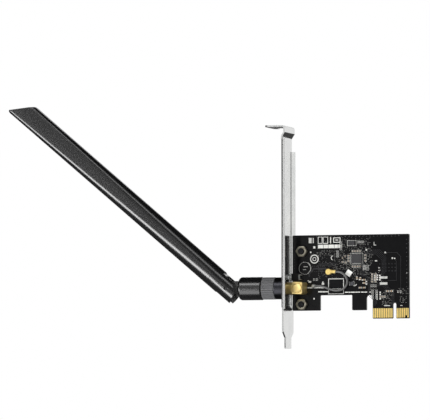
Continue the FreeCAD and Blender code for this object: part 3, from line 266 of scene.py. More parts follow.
shader, tree, place = start_finish(
    "jack_gold", "gold_on_turned_brass", "#FADE8C", Metallic=1.0, Roughness=0.4
)
vary(shader, wave(tree, place, LATHE, "X", 0.6), rough=(0.36, 0.46))
vary(shader, noise(tree, place, per(BLUSH), 2.0), ("#F6D47C", "#FFEAAC"))

# %% [markdown]
# The antenna is moulded in soft-touch black plastic. The mould was spark eroded, so the skin has a
# very fine even grain that spreads every highlight into a satin band. The grain here is drawn a
# little coarser than the real one, so that it can show at all.

# %% Satin moulded plastic
MOULD_GRAIN = 0.14
FLOW = 18.0

shader, tree, place = start_finish(
    "antenna_black",
    "satin_moulded_plastic",
    "#0C0C0D",
    Roughness=0.26,
    IOR=1.54,
    Coat_Weight=1.0,
    Coat_Roughness=0.22,
)
vary(shader, noise(tree, place, per(MOULD_GRAIN), 2.0), relief=(0.015, 0.01))
vary(shader, noise(tree, place, per(FLOW), 3.0), ("#09090A", "#101011"), (0.23, 0.29))

# %% [markdown]
# The lamp is cast in clear epoxy that is faintly milky. Light goes through it, so it needs a
# transmitting shader, with a little cloudiness inside shown as a rougher, paler body.

# %% Milky clear epoxy
MILK_CLOUD = 1.2

shader, tree, place = start_finish(
    "lamp_clear", "milky_clear_epoxy", "#F0F3F2", Roughness=0.12, IOR=1.53, Transmission_Weight=0.35
)
vary(shader, noise(tree, place, per(MILK_CLOUD), 2.0), ("#DCE2E1", "#FBFCFC"))

# %% [markdown]
# The remaining finishes are small ones. Each is still a real material with a grain of its own, so a
# table holds what differs: the colour at both ends of its variation, the size of its grain, how
# metallic and how rough it is, and how deep the grain lies.

# %% Small finishes from one table
SMALL_FINISHES = {
    "insulator_white": ("turned_fluoroplastic", "#DEDCD5", "#F0EEE8", 0.5, 0.0, 0.48, 0.01),
    "black_plated_brass": ("black_nickel_on_brass", "#303034", "#4A4A4F", 0.3, 1.0, 0.3, 0.004),
    "spring_bronze": ("drawn_spring_bronze", "#9C6E41", "#BF9260", 0.2, 1.0, 0.32, 0.004),
    "holder_black": ("moulded_nylon", "#0B0B0C", "#161617", 0.2, 0.0, 0.5, 0.02),
    "tin": ("reflowed_solder", "#C6C6C2", "#ECECE8", 0.35, 1.0, 0.42, 0.02),
    "chip_black": ("moulded_epoxy_package", "#222224", "#37373A", 0.16, 0.0, 0.55, 0.02),
    "crystal_can": ("nickel_lid", "#B9B9B5", "#D6D6D2", 0.5, 1.0, 0.26, 0.004),
    "ferrite": ("sintered_ferrite", "#2C2C30", "#47474C", 0.12, 0.0, 0.65, 0.03),
    "ceramic_tan": ("fired_ceramic", "#7E6446", "#A58A68", 0.15, 0.0, 0.45, 0.01),
    "resistor_black": ("glazed_resistor", "#0E0E11", "#212126", 0.15, 0.0, 0.35, 0.01),
    "label_white": ("coated_label_paper", "#E4E4DF", "#F7F7F4", 0.3, 0.0, 0.62, 0.01),
    "coax_grey": ("extruded_fluoroplastic", "#4F4F4E", "#6A6A69", 0.6, 0.0, 0.34, 0.01),
    "coax_black": ("extruded_vinyl", "#101011", "#1D1D1F", 0.6, 0.0, 0.42, 0.01),
    "thin_ink": ("thin_legend_ink", "#70706D", "#B4B4B0", 0.3, 0.0, 0.7, 0.005),
    "blackened": ("black_oxide_on_steel", "#0E0E10", "#1E1E21", 0.25, 0.0, 0.4, 0.006),
    "grip_plastic": ("matt_ribbed_plastic", "#525254", "#666668", 0.2, 0.0, 0.42, 0.02),
    "strip_green": ("glass_fibre_laminate", "#1E4A2C", "#2E6A3F", 0.5, 0.0, 0.4, 0.01),
}

for slot, (name, low, high, size, metallic, roughness, deep) in SMALL_FINISHES.items():
    shader, tree, place = start_finish(slot, name, high, Metallic=metallic, IOR=1.5)
    grain = noise(tree, place, per(size), 3.0)
    vary(shader, grain, (low, high), (roughness * 0.8, roughness * 1.2), (0.3, deep))
print(len(finishes), "finishes")

# %% [markdown]
# Each piece that keeps its own mesh takes the finish of its slot in the record, in one loop.

# %% Dress the pieces that stay as they are
slot_of = {row["node"]: row["material_slot"] for row in frame["record"]["subparts"]}
for name, node in frame["nodes"].items():
    for place_for_material in node.material_slots:
        place_for_material.material = finishes[slot_of[name]]
print(len(frame["nodes"]), "pieces dressed")

# %% [markdown]
# New pieces are surfaces on a grid of points. The grid is worked out as whole arrays, and this
# helper makes it a mesh: points that coincide at a seam or a pole become one, and the faces are
# turned outwards. It also says which body carries the piece and which plain solid it stands for.

# %% Helpers for new pieces
SAME_PLACE = 1e-7
SMOOTH_UNDER = radians(38)


def lattice(rows, columns, rows_close=False, columns_close=True):
    """Four-cornered faces of a grid of points numbered row by row, either way closed or open."""
    row = np.arange(rows if rows_close else rows - 1)
    column = np.arange(columns if columns_close else columns - 1)
    row, column = (array.ravel() for array in np.meshgrid(row, column, indexing="ij"))
    next_row, next_column = (row + 1) % rows, (column + 1) % columns
    corners = [(row, column), (row, next_column), (next_row, next_column), (next_row, column)]
    return np.stack([r * columns + c for r, c in corners], -1)


def joined(shapes):
    """Several (points, faces) shapes as one: the faces of each count on from the points before it."""
    firsts = np.cumsum([0] + [len(points) for points, faces in shapes[:-1]])
    faces = [faces + first for first, (points, faces) in zip(firsts, shapes)]
    return np.concatenate([points for points, _ in shapes]), np.concatenate(faces)


def merged(mesh, source, flat_within=None):
    """Fill a mesh from another with coinciding points merged, then join flat areas or turn faces out."""
    solid = bmesh.new()
    solid.from_mesh(source)
    bmesh.ops.remove_doubles(solid, verts=solid.verts, dist=SAME_PLACE)
    if flat_within:
        bmesh.ops.dissolve_limit(solid, angle_limit=flat_within, verts=solid.verts, edges=solid.edges)
    else:
        bmesh.ops.recalc_face_normals(solid, faces=solid.faces)
    solid.to_mesh(mesh)
    solid.free()
    mesh.shade_smooth()


def carry(name, data, body, material, nodes):
    """Put a mesh or curve in the scene on its body, with its finish, in place of the named solids."""
    piece = bpy.data.objects.new(name, data)
    scene.collection.objects.link(piece)
    data.materials.append(material)
    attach(piece, body)
    if nodes:
        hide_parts(*nodes)
    return piece


def new_piece(name, shape, body, slot, nodes=(), material=None):
    """A smooth closed piece from points in millimetres and four-cornered faces."""
    points, faces = shape
    mesh = bpy.data.meshes.new(name)
    mesh.from_pydata(np.asarray(points) * MM, [], faces.tolist())
    merged(mesh, mesh)
    mesh.set_sharp_from_angle(angle=SMOOTH_UNDER)
    print(name, len(mesh.polygons), "faces")
    piece = carry(name, mesh, body, material or finishes[slot], nodes)
    piece.modifiers.new("even_shading", "WEIGHTED_NORMAL").keep_sharp = True
    return piece


# %% [markdown]
# Many pieces already have the right form and only lack the small rolled edges that catch the light
# on anything stamped, moulded or turned. For those, a copy of the solid is merged from its loose
# triangles, flat areas become single faces, and a Bevel modifier rolls every sharp edge.

# %% Rolled edges on copies of the solids
FLAT_WITHIN = radians(0.6)
SHARP_FROM = radians(32)


def eased(node, width, material):
    """A piece of the construction whose sharp edges are rolled over."""
    source = frame["nodes"][node]
    mesh = bpy.data.meshes.new(node + "_eased")
    merged(mesh, source.data, FLAT_WITHIN)
    piece = carry(mesh.name, mesh, source["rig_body"], material, [node])
    bevel = piece.modifiers.new("rolled_edges", "BEVEL")
    bevel.width = width * MM
    bevel.segments = 2
    bevel.limit_method = "ANGLE"
    bevel.angle_limit = SHARP_FROM
    piece.modifiers.new("even_shading", "WEIGHTED_NORMAL").keep_sharp = True
    return piece


BLACKENED = ("board_screws", "hinge_pin")
EASED_EDGES = {
    "bracket": 0.3, "board_screws": 0.08, "lamp_holder": 0.15, "hinge_pin": 0.3, "radio_chip": 0.06,
    "memory_chip": 0.05, "crystal": 0.08, "power_inductor": 0.12, "inductor_ends": 0.08,
    "capacitors": 0.05, "resistors": 0.04, "passive_ends": 0.07, "inspection_sticker": 0.02,
    "coax_plug": 0.12, "arm_fork": 0.3, "base_sleeve": 0.2,
}
for node, width in EASED_EDGES.items():
    eased(node, width, finishes["blackened" if node in BLACKENED else slot_of[node]])
print(len(EASED_EDGES), "pieces with rolled edges")

# %% [markdown]
# The thin lead on the board runs from the push-on plug in a loop to its soldered end. It is a
# curve: a handful of points that pull a smooth line, with a round section. Its points are those of
# the route that was settled with the construction.

# %% Coax lead on the board
BOARD_EDGE = 2.1
BOARD_TOP = -58.0
LEAD_DIAMETER = 1.13
LEAD_ROUTE = (
    (24.5, 19.9, 1.10), (26.5, 19.9, 1.10), (28.6, 20.7, 1.45), (30.3, 22.2, 1.80), (31.4, 24.4, 1.95),
    (31.2, 26.9, 1.80), (29.5, 28.9, 1.55), (27.2, 29.9, 1.30), (24.7, 30.1, 1.10), (22.2, 29.6, 1.00),
    (19.9, 28.8, 0.95), (17.8, 27.9, 0.90), (15.6, 27.4, 0.85), (13.3, 27.4, 0.85),
)


def on_board(across, down, height):
    """Points in millimetres from places across and down the board and heights above its face."""
    across, down, height = np.broadcast_arrays(across, down, height)
    return np.stack([BOARD_EDGE + across, -height, BOARD_TOP - down], -1)


curve = bpy.data.curves.new("pigtail_lead", "CURVE")
curve.dimensions = "3D"
curve.bevel_depth = LEAD_DIAMETER / 2 * MM
curve.bevel_resolution = 5
curve.use_fill_caps = True
curve.resolution_u = 12
spline = curve.splines.new("NURBS")
spline.points.add(len(LEAD_ROUTE) - 1)
route = on_board(*np.array(LEAD_ROUTE).T) * MM
spline.points.foreach_set("co", np.column_stack([route, np.ones(len(route))]).ravel())
spline.order_u = 3
spline.use_endpoint_u = True
pigtail = carry("pigtail_lead", curve, "card", finishes["coax_grey"], ["pigtail_coax"])

# %% [markdown]
# A turned piece is a profile carried round an axis. The radius may also change with the turn, which
# gives ribs and threads without cutting anything: a rib is a wave round the piece, and a thread is
# a wave that climbs as it goes round.

# %% Turned surfaces
JACK_Y = -6.0
JACK_Z = -86.7
THREAD_STEPS = 64


def turned(along, radius, start, way, steps=48, loop=False):
    """Points at each (along, radius) carried round the axis that leaves start along way.

    radius holds one value a row, or a value for each row and each of the steps round the axis.
    """
    way = np.asarray(way, float) / np.linalg.norm(way)
    first = np.cross(way, (0, 1, 0) if abs(way[1]) < 0.9 else (0, 0, 1))
    first /= np.linalg.norm(first)
    second = np.cross(way, first)
    turn = np.linspace(0, 2 * pi, steps, endpoint=False)
    spoke = np.cos(turn)[:, None] * first + np.sin(turn)[:, None] * second
    radius = np.asarray(radius, float)
    if radius.ndim == 1:
        radius = np.repeat(radius[:, None], steps, 1)
    axis = np.asarray(start, float) + np.asarray(along, float)[:, None] * way
    points = axis[:, None, :] + radius[:, :, None] * spoke[None]
    return points.reshape(-1, 3), lattice(len(axis), steps, rows_close=loop)


def on_jack_axis(along, radius, steps=THREAD_STEPS):
    """A ring-shaped piece turned about the jack's axis, out and back along its rows."""
    return turned(along, radius, (0, JACK_Y, JACK_Z), (-1, 0, 0), steps, loop=True)


def quarter(start, end, steps=5):
    """(along, radius) pairs on a quarter ellipse that leaves start along the axis and ends across it."""
    turn = np.linspace(0, pi / 2, steps + 1)
    along = start[0] + (end[0] - start[0]) * np.sin(turn)
    return np.column_stack([along, end[1] + (start[1] - end[1]) * np.cos(turn)])


# %% [markdown]
# The jack's barrel and the antenna's nut share one fine thread of 36 turns to the inch. The groove
# is a V with flats, and it climbs one pitch each turn, right handed, looking out from the bracket.
# Nut and barrel read the same function, so they stay in step as the nut unscrews.

# %% The jack thread
PITCH = 25.4 / 36
THREAD_DEPTH = 0.36
BARREL_RADIUS = 6.35 / 2
THREAD_GAP = 0.06
FLANK = 4.0
ROOT_CUT = 1.25
ROWS_A_TURN = 10


def thread_groove(out):
    """How deep the groove is, at rows of distance out and at each step round the jack's axis.

    The share of a pitch is the distance over the pitch less the share of a turn. The groove is a V
    about its middle, cut off flat at crest and root, and runs out over the pitch inside the bracket.
    """
    turn = np.linspace(0, 1, THREAD_STEPS, endpoint=False)
    share = (out[:, None] / PITCH - turn[None]) % 1
    slope = ROOT_CUT - FLANK * np.abs(share - 0.5)
    runout = np.clip(1 + out[:, None] / PITCH, 0, 1)
    return THREAD_DEPTH * runout * np.clip(slope, 0, 1)


# %% [markdown]
# The jack is one gold-plated casting with a turned barrel: a block on four posts, a threaded tube
# that looks out through the bracket, and a round recess in front for its cap. The block's outline
# is a square with soft corners, given as a radius that depends on the turn, so square and round rows
# can follow each other on one grid.

# %% Radio jack
JACK_MIDDLE = 7.3
JACK_HALF = (3.3, 3.1)
JACK_FRONT = 9.1
JACK_STANDOFF = 0.3
JACK_EDGE = 0.25
CAP_RECESS = (2.72, 0.4)
MOUTH = (2.35, 2.05, 5.1)
BARREL_BACK = -4.2
BARREL_END = 7.6
BARREL_CHAMFER = 0.35
RECESS_LIP = 0.08
POST_INSET = 1.0
POST = (0.6, 0.85, 2.3)
COLLAR_HEIGHT = 0.3
POST_TIP = 0.2
CORNER_POWER = 9
POST_PLACES = [
    (JACK_MIDDLE + i * (JACK_HALF[0] - POST_INSET), JACK_Z + j * (JACK_HALF[1] - POST_INSET))
    for i in (-1, 1)
    for j in (-1, 1)
]


def square_reach(half, steps, power=CORNER_POWER):
    """How far a soft square reaches at each turn: the power mean of its two half widths."""
    turn = np.linspace(0, 2 * pi, steps, endpoint=False)
    share = np.abs(np.cos(turn) / half[0]) ** power + np.abs(np.sin(turn) / half[1]) ** power
    return share ** (-1 / power)


def jack_block():
    """The block: soft square rows from its back to its front, then round rows into the recess."""
    steps = 96
    full = square_reach((JACK_HALF[1], JACK_HALF[0]), steps)
    edge = quarter((0, 1), (JACK_EDGE, 0))
    depth = JACK_FRONT - JACK_STANDOFF
    rows = [(0, full * 0), (0, full - JACK_EDGE)]
    rows += [(JACK_EDGE - a, full - JACK_EDGE * (1 - b)) for a, b in edge[::-1]]
    rows += [(depth - JACK_EDGE + a, full - JACK_EDGE * (1 - b)) for a, b in edge]
    recess = np.full(steps, CAP_RECESS[0])
    rows += [(depth, recess + RECESS_LIP), (depth - RECESS_LIP, recess), (depth - CAP_RECESS[1], recess)]
    rows += [(depth - CAP_RECESS[1], recess * 0)]
    along = [row[0] for row in rows]
    start = (JACK_MIDDLE, -JACK_STANDOFF, JACK_Z)
    return turned(along, np.stack([row[1] for row in rows]), start, (0, -1, 0), steps)


def jack_barrel():
    """The threaded tube: out along the thread, over the chamfered lip and back along the bore."""
    out = np.linspace(BARREL_BACK, BARREL_END, int((BARREL_END - BARREL_BACK) / PITCH * ROWS_A_TURN))
    lip = BARREL_RADIUS - np.clip(out - (BARREL_END - BARREL_CHAMFER), 0, None)
    thread = np.minimum(BARREL_RADIUS - thread_groove(out), lip[:, None])
    bore = [(BARREL_END, MOUTH[0]), (MOUTH[2], MOUTH[0]), (MOUTH[2], MOUTH[1]), (BARREL_BACK, MOUTH[1])]
    along = np.concatenate([out, [row[0] for row in bore]])
    radius = np.concatenate([thread, [[row[1]] * THREAD_STEPS for row in bore]])
    return on_jack_axis(along, radius)


def jack_posts():
    """Four ground posts, each with a collar under the block and a rounded end behind the board."""
    thin, wide, end = POST
    tip = quarter((end - POST_TIP, thin), (end, 0))
    rows = np.array([(0, 0), (0, wide), (COLLAR_HEIGHT, wide), (COLLAR_HEIGHT, thin), *tip]).T
    return [turned(*rows, (x, -JACK_STANDOFF, z), (0, 1, 0), 20) for x, z in POST_PLACES]


jack = joined([jack_block(), jack_barrel(), *jack_posts()])
new_piece("radio_jack", jack, "card", "jack_gold", ["jack_body"])

# %% [markdown]
# The cap is pressed into that recess. Its face is slightly dished with a raised lip, which is what
# makes it read as a separate disc. The pressed edge leaves a dark ring around it.

# %% Jack cap
cap_along = (0, 0, 0.1, 0.52, 0.6, 0.6, 0.36, 0.34, 0.38)
cap_radius = (0, 2.53, 2.63, 2.63, 2.55, 2.4, 2.16, 2.0, 0)
cap = turned(cap_along, cap_radius, (JACK_MIDDLE, CAP_RECESS[1] - JACK_FRONT, JACK_Z), (0, -1, 0), 64)
new_piece("jack_cap_disc", cap, "card", "jack_gold", ["jack_cap"])

# %% [markdown]
# The coupling nut is turned from brass and plated black. Outside it has a smooth ring towards the
# bracket and a thinner core that the grip is moulded on. Inside, it carries the thread, a wider
# chamber for the plug's stem and the groove of the snap ring.

# %% Coupling nut
NUT_START = 0.3
RING_END = 5.2
NUT_END = 12.3
RING_RADIUS = 5.95
CORE_RADIUS = 4.9
EDGE = 0.35
CHAMBER_START = 7.9
CHAMBER_RADIUS = 3.75
GROOVE_RADIUS = 4.1
GROOVE = (10.37, 11.03)


def coupling_nut():
    """Out along the ring and the core, then back along the chamber and the thread."""
    ring = quarter((RING_END - EDGE, RING_RADIUS), (RING_END, RING_RADIUS - EDGE))
    front = quarter((NUT_START + EDGE, RING_RADIUS), (NUT_START, RING_RADIUS - EDGE))[::-1]
    outside = [*front, *ring, (RING_END, CORE_RADIUS), (NUT_END, CORE_RADIUS)]
    inside = [(NUT_END, CHAMBER_RADIUS), (GROOVE[1], CHAMBER_RADIUS), (GROOVE[1], GROOVE_RADIUS)]
    inside += [(GROOVE[0], GROOVE_RADIUS), (GROOVE[0], CHAMBER_RADIUS), (CHAMBER_START, CHAMBER_RADIUS)]
    plain = np.array(outside + inside)
    out = np.linspace(CHAMBER_START, NUT_START, int((CHAMBER_START - NUT_START) / PITCH * ROWS_A_TURN))
    mouth = BARREL_RADIUS + THREAD_GAP - np.clip(out - NUT_START, 0, THREAD_DEPTH)
    thread = np.maximum(BARREL_RADIUS + THREAD_GAP - thread_groove(out), mouth[:, None])
    radius = np.concatenate([np.repeat(plain[:, 1:], THREAD_STEPS, 1), thread])
    along = np.concatenate([plain[:, 0], out])
    return on_jack_axis(along, radius)


new_piece("turned_nut", coupling_nut(), "antenna_nut", "black_plated_brass", ["coupling_nut"])

# %% [markdown]
# The grip has thirty straight ribs for the fingers, with wide flat crests and narrow grooves. The
# rib is a wave round the piece, clipped flat at its crest, and the ribs die out in the rounded ends.

# %% Ribbed grip
GRIP_RADIUS = 6.0
RIB_DEPTH = 0.34
RIBS = 30
STEPS_A_RIB = 16
GROOVE_SHARE = 0.42


def ribbed_grip():
    """Rows out along the ribs and back along the bore; the groove is a rounded notch in each rib."""
    steps = RIBS * STEPS_A_RIB
    share = np.arange(steps) / STEPS_A_RIB % 1
    notch = np.clip(1 - np.abs(share - 0.5) / (GROOVE_SHARE / 2), 0, 1)
    notch = np.sin(notch * pi / 2)
    start = quarter((RING_END + EDGE, 1), (RING_END, 0))[::-1]
    end = quarter((NUT_END - EDGE, 1), (NUT_END, 0))
    along = np.concatenate([start[:, 0], end[:, 0], [NUT_END, RING_END]])
    crest = GRIP_RADIUS - EDGE * (1 - np.concatenate([start[:, 1], end[:, 1]]))
    outer = np.minimum(crest[:, None], GRIP_RADIUS - RIB_DEPTH * notch[None])
    inner = np.full((2, steps), CORE_RADIUS)
    return on_jack_axis(along, np.concatenate([outer, inner]), steps)


grip_finish = finishes["grip_plastic"]
new_piece("ribbed_grip", ribbed_grip(), "antenna_nut", "antenna_black", ["knurled_grip"], grip_finish)

# %% [markdown]
# The long cover is one moulding that changes its section as it goes: round where it meets the
# hinge, a flat blade at its tip. Every ring of the grid is a rectangle with round corners, and the
# corner radius and the depth slide from one form to the other. The tip is cut at a slant with a
# softened corner, so each line along the arm has its own length.

# %% Long cover
PIVOT = np.array((-32.1, JACK_Y, JACK_Z))
TILT = radians(40)
ALONG = np.array((-cos(TILT), 0, sin(TILT)))
UP = np.array((sin(TILT), 0, cos(TILT)))
BACK = np.array((0, 1.0, 0))
ARM_RADIUS = 11.75 / 2
ARM_SEAM = 11.1
ARM_LOW = 162.0
ARM_HIGH = 150.7
BLADE_HALF = 3.2
BLADE_CORNER = 1.7
NEARLY_ROUND = 0.02
BLADE_CROWN = 0.12
TIP_CORNER = 0.9
TIP_EDGE = 0.55
SEAM_EDGE = 0.2
COVER_WALL = 1.3
BORE_DEPTH = 7.4
CORNER_POINTS = 16
SIDE_POINTS = 9


def cover_section(along, inset):
    """Up and back of a ring at each distance along: a rectangle with round corners, face crowned.

    along is (rows, columns). The corner radius and the half depth slide from the round bar to the
    blade with the share of the length, and each corner is an arc about its own centre.
    """
    share = NEARLY_ROUND + (1 - NEARLY_ROUND) * (along - ARM_SEAM) / (ARM_LOW - ARM_SEAM)
    corner = ARM_RADIUS + (BLADE_CORNER - ARM_RADIUS) * share
    deep = ARM_RADIUS + (BLADE_HALF - ARM_RADIUS) * share
    turn, up_lean, back_lean = cover_turns()
    up = (ARM_RADIUS - corner) * up_lean + (corner - inset) * np.cos(turn)
    back = (deep - corner) * back_lean + (corner - inset) * np.sin(turn)
    crown = 1 - BLADE_CROWN / BLADE_HALF * share * (up / ARM_RADIUS) ** 2
    return up, back * crown


def cover_turns():
    """For each column: the angle of its corner arc, and how far it lies along its flat, -1 to 1."""
    flat = np.linspace(0, 1, SIDE_POINTS + 2)[1:-1]
    corners = ((1, 1), (-1, 1), (-1, -1), (1, -1))
    parts = []
    for number, (up, back) in enumerate(corners):
        next_up, next_back = corners[(number + 1) % 4]
        arc = np.linspace(0, pi / 2, CORNER_POINTS) + number * pi / 2
        parts.append((arc, 0 * arc + up, 0 * arc + back))
        parts.append((0 * flat + arc[-1], up + (next_up - up) * flat, back + (next_back - back) * flat))
    return np.concatenate(parts, 1)


def tip_reach(up):
    """Where the arm ends at each height up: the slant line, or the arc that softens its low corner."""
    rise = 2 * ARM_RADIUS
    run = ARM_LOW - ARM_HIGH
    slant = ARM_LOW - run * (up + ARM_RADIUS) / rise
    length = sqrt(rise**2 + run**2)
    lean = (rise / length, run / length)
    centre_up = TIP_CORNER - ARM_RADIUS
    centre = ARM_LOW - TIP_CORNER * (1 + lean[1]) / lean[0]
    arc = centre + np.sqrt(np.clip(TIP_CORNER**2 - (up - centre_up) ** 2, 0, None))
    return np.where(up < centre_up + TIP_CORNER * lean[1], arc, slant)


def cover_rings():
    """Rings of the cover: the bore at the seam, the outside, the softened tip edge and its end."""
    columns = len(cover_turns()[0])
    share = np.concatenate([np.linspace(0, 0.9, 60), np.linspace(0.9, 1, 14)[1:]])[:, None]
    end = np.full((1, columns), ARM_LOW)
    for _ in range(4):
        end = tip_reach(cover_section(end, 0)[0])
    last = end - TIP_EDGE
    along = ARM_SEAM + SEAM_EDGE + share * (last - ARM_SEAM - SEAM_EDGE)
    bore = ARM_SEAM + np.array([BORE_DEPTH, BORE_DEPTH, 0])[:, None] + np.zeros(columns)
    bore_up, bore_back = cover_section(bore, COVER_WALL)
    bore_up[0], bore_back[0] = 0, 0
    rings = [(bore, bore_up, bore_back)]
    for level, inset in quarter((ARM_SEAM + SEAM_EDGE, 0), (ARM_SEAM, SEAM_EDGE), 3)[::-1]:
        level = np.full((1, columns), level)
        rings.append((level, *cover_section(level, inset)))
    rings.append((along, *cover_section(along, 0)))
    for past, inset in quarter((0, 0), (TIP_EDGE, TIP_EDGE))[1:]:
        rings.append((last + past, *cover_section(last, inset)))
    flat_up, flat_back = cover_section(last, TIP_EDGE)
    for shrink in (0.8, 0.55, 0.3, 0.0):
        reach = tip_reach(np.clip(flat_up * shrink, TIP_CORNER - ARM_RADIUS, None))
        rings.append((reach, flat_up * shrink, flat_back * shrink))
    return [np.concatenate([ring[i] for ring in rings]) for i in range(3)]


def arm_places(along, up, back):
    """Points of the tilted arm from distances along it, up from its middle and back from its face."""
    return PIVOT + along[..., None] * ALONG + up[..., None] * UP + back[..., None] * BACK


cover = arm_places(*cover_rings())
shape = (cover.reshape(-1, 3), lattice(*cover.shape[:2]))
new_piece("long_cover", shape, "antenna_arm", "antenna_black", ["arm_sleeve"])

# %% [markdown]
# A nut starts as a hexagon bar. Turning its end leaves a round flat face and a shallow cone that
# cuts the six corners in curved lines, and the hole gets a countersink before it is tapped.

# %% Board nuts
NUT_X = 7.6
NUT_HEIGHTS = (-66.7, -95.3)
NUT_FLATS = 5.5
NUT_THICK = 2.4
NUT_CORNER_CUT = 0.34
NUT_FACE = 0.95 * NUT_FLATS
NUT_CONE = radians(30)
NUT_HOLE = 1.53
NUT_SINK = 0.35


def hexagon_reach(flats, steps):
    """How far a hexagon reaches at each turn: half its flats over the cosine from the next flat."""
    turn = np.linspace(0, 2 * pi, steps, endpoint=False)
    return flats / 2 / np.cos(turn % (pi / 3) - pi / 6)


def board_nut(z):
    """Rows out along the hexagon, cut by a cone at both ends, and back along the sunk hole."""
    steps = 96
    reach = hexagon_reach(NUT_FLATS, steps)
    from_end = np.linspace(0, NUT_CORNER_CUT, 6)
    cone = NUT_FACE / 2 + from_end / np.tan(NUT_CONE)
    cut = np.minimum(reach, cone[:, None])
    hole = np.array([(NUT_THICK, NUT_HOLE + NUT_SINK), (NUT_THICK - NUT_SINK, NUT_HOLE), (0, NUT_HOLE)])
    along = np.concatenate([from_end, NUT_THICK - from_end[::-1], hole[:, 0]])
    radius = np.concatenate([cut, cut[::-1], np.repeat(hole[:, 1:], steps, 1)])
    return turned(along, radius, (NUT_X, 0, z), (0, -1, 0), steps, loop=True)


nuts = joined([board_nut(z) for z in NUT_HEIGHTS])
new_piece("hexagon_nuts", nuts, "card", "screw_steel", ["board_nuts"])

# %% [markdown]
# The lamp is a short rod with a dome that looks out through its hole in the bracket. A dome is the
# quarter of a circle turned round the axis.

# %% Lamp
LAMP = (-2.0, -80.7)
LAMP_RADIUS = 1.5
LAMP_NOSE = 0.5
LAMP_BACK = 6.5
dome = quarter((-LAMP_NOSE - LAMP_RADIUS, LAMP_RADIUS), (-LAMP_NOSE, 0), 10)
lamp = np.array([(-LAMP_BACK, 0), (-LAMP_BACK, LAMP_RADIUS), *dome]).T
new_piece("lamp_dome", turned(*lamp, (0, *LAMP), (-1, 0, 0), 40), "card", "lamp_clear", ["lamp_lens"])

# %% [markdown]
# Solder creeps up what it wets and ends in a hollow curve. Behind the board each pin stands in such
# a small hollow cone, and the lead's far end lies in a low round mound.

# %% Solder
BOARD_THICKNESS = 1.6
SOLDER_HEIGHT = 0.5
SOLDER_REACH = 0.5
PIN_GAP = 0.02
LAMP_LEAD_X = 7.5
LAMP_LEAD_APART = 1.27


def solder_cone(x, z, size):
    """A hollow cone: its radius falls from the foot to the pin with the square of the height left."""
    share = np.linspace(0, 1, 7)
    radius = size / 2 + PIN_GAP + SOLDER_REACH * (1 - share) ** 2
    along = np.concatenate([[0], SOLDER_HEIGHT * share, [SOLDER_HEIGHT]])
    radius = np.concatenate([[0], radius, [0]])
    return turned(along, radius, (x, BOARD_THICKNESS, z), (0, 1, 0), 24)


pins = [(x, z, 2 * POST[0]) for x, z in POST_PLACES]
pins.append((JACK_MIDDLE, JACK_Z, 0.9))
pins += [(LAMP_LEAD_X, LAMP[1] + side * LAMP_LEAD_APART, 0.5) for side in (-1, 1)]
new_piece("solder_cones", joined([solder_cone(*pin) for pin in pins]), "card", "tin", ["solder_joints"])

MOUND = (2.6, 2.0, 1.3)
mound_share = np.linspace(0, pi / 2, 8)
mound_reach = square_reach((MOUND[0] / 2, MOUND[1] / 2), 40, 3)
mound_rows = np.concatenate([[0 * mound_reach], np.cos(mound_share)[:, None] ** 0.7 * mound_reach])
mound_along = np.concatenate([[0], MOUND[2] * np.sin(mound_share) ** 0.9])
mound_middle = on_board(LEAD_ROUTE[-1][0] - MOUND[0] / 2, LEAD_ROUTE[-1][1], 0.0)
mound = turned(mound_along, mound_rows, mound_middle, (0, -1, 0), 40)
new_piece("solder_mound", mound, "card", "tin", ["coax_anchor"])

# %% [markdown]
# Legend ink and copper tracks are both flat lines on the board, only in other widths and heights.
# One function draws such a line as a thin closed strip along any path, with mitred bends.

# %% Flat lines on the board
INK = (0.0, 0.03)
TRACK = (0.0, 0.035)
SHARPEST_BEND = 0.3


def unit(ways):
    """Each way at a length of one."""
    return ways / np.maximum(np.linalg.norm(ways, axis=-1, keepdims=True), 1e-12)


def strip(path, width, heights, closed=False, face=1):
    """A thin strip along (across, down) points: each point moves half a width to both sides.

    The sideways way at a point is the mean of its two runs' sideways ways, made longer at a bend
    so that the strip keeps its width. face is 1 on the component side and -1 behind the board.
    """
    path = np.asarray(path, float)
    before = np.roll(path, 1, 0) if closed else np.vstack([2 * path[0] - path[1], path[:-1]])
    after = np.roll(path, -1, 0) if closed else np.vstack([path[1:], 2 * path[-1] - path[-2]])
    run_in, run_out = unit(path - before), unit(after - path)
    side_in = np.column_stack([-run_in[:, 1], run_in[:, 0]])
    side_out = np.column_stack([-run_out[:, 1], run_out[:, 0]])
    sideways = unit(side_in + side_out)
    reach = width / 2 / np.maximum((sideways * side_in).sum(1), SHARPEST_BEND)
    left, right = path + sideways * reach[:, None], path - sideways * reach[:, None]
    low, high = heights
    lift = (low, high) if face == 1 else (-BOARD_THICKNESS - low, -BOARD_THICKNESS - high)
    corners = ((left, lift[0]), (right, lift[0]), (right, lift[1]), (left, lift[1]))
    points = np.stack([on_board(*flat.T, height) for flat, height in corners], 1).reshape(-1, 3)
    faces = lattice(len(path), 4, rows_close=closed)
    if not closed:
        last = 4 * (len(path) - 1)
        faces = np.concatenate([faces, [[0, 1, 2, 3], [last, last + 3, last + 2, last + 1]]])
    return points, faces


def bar(across, down, long, wide, face=1):
    """A plain upright or lying bar by its centre, length across and width down."""
    return strip([(across - long / 2, down), (across + long / 2, down)], wide, INK, face=face)


def arc(across, down, radius, start=0.0, end=360.0, steps=40):
    """Points on a circle or a part of one, by its centre, from one angle to another in degrees."""
    whole = end - start >= 360
    turn = np.radians(np.linspace(start, end, steps, endpoint=not whole))
    return np.column_stack([across + radius * np.cos(turn), down + radius * np.sin(turn)])


def frame_line(across, down, long, high, width=0.2, face=1):
    """The outline of a rectangle by its centre, as one closed strip."""
    left, right, top, low = across - long / 2, across + long / 2, down - high / 2, down + high / 2
    return strip([(left, top), (right, top), (right, low), (left, low)], width, INK, closed=True, face=face)


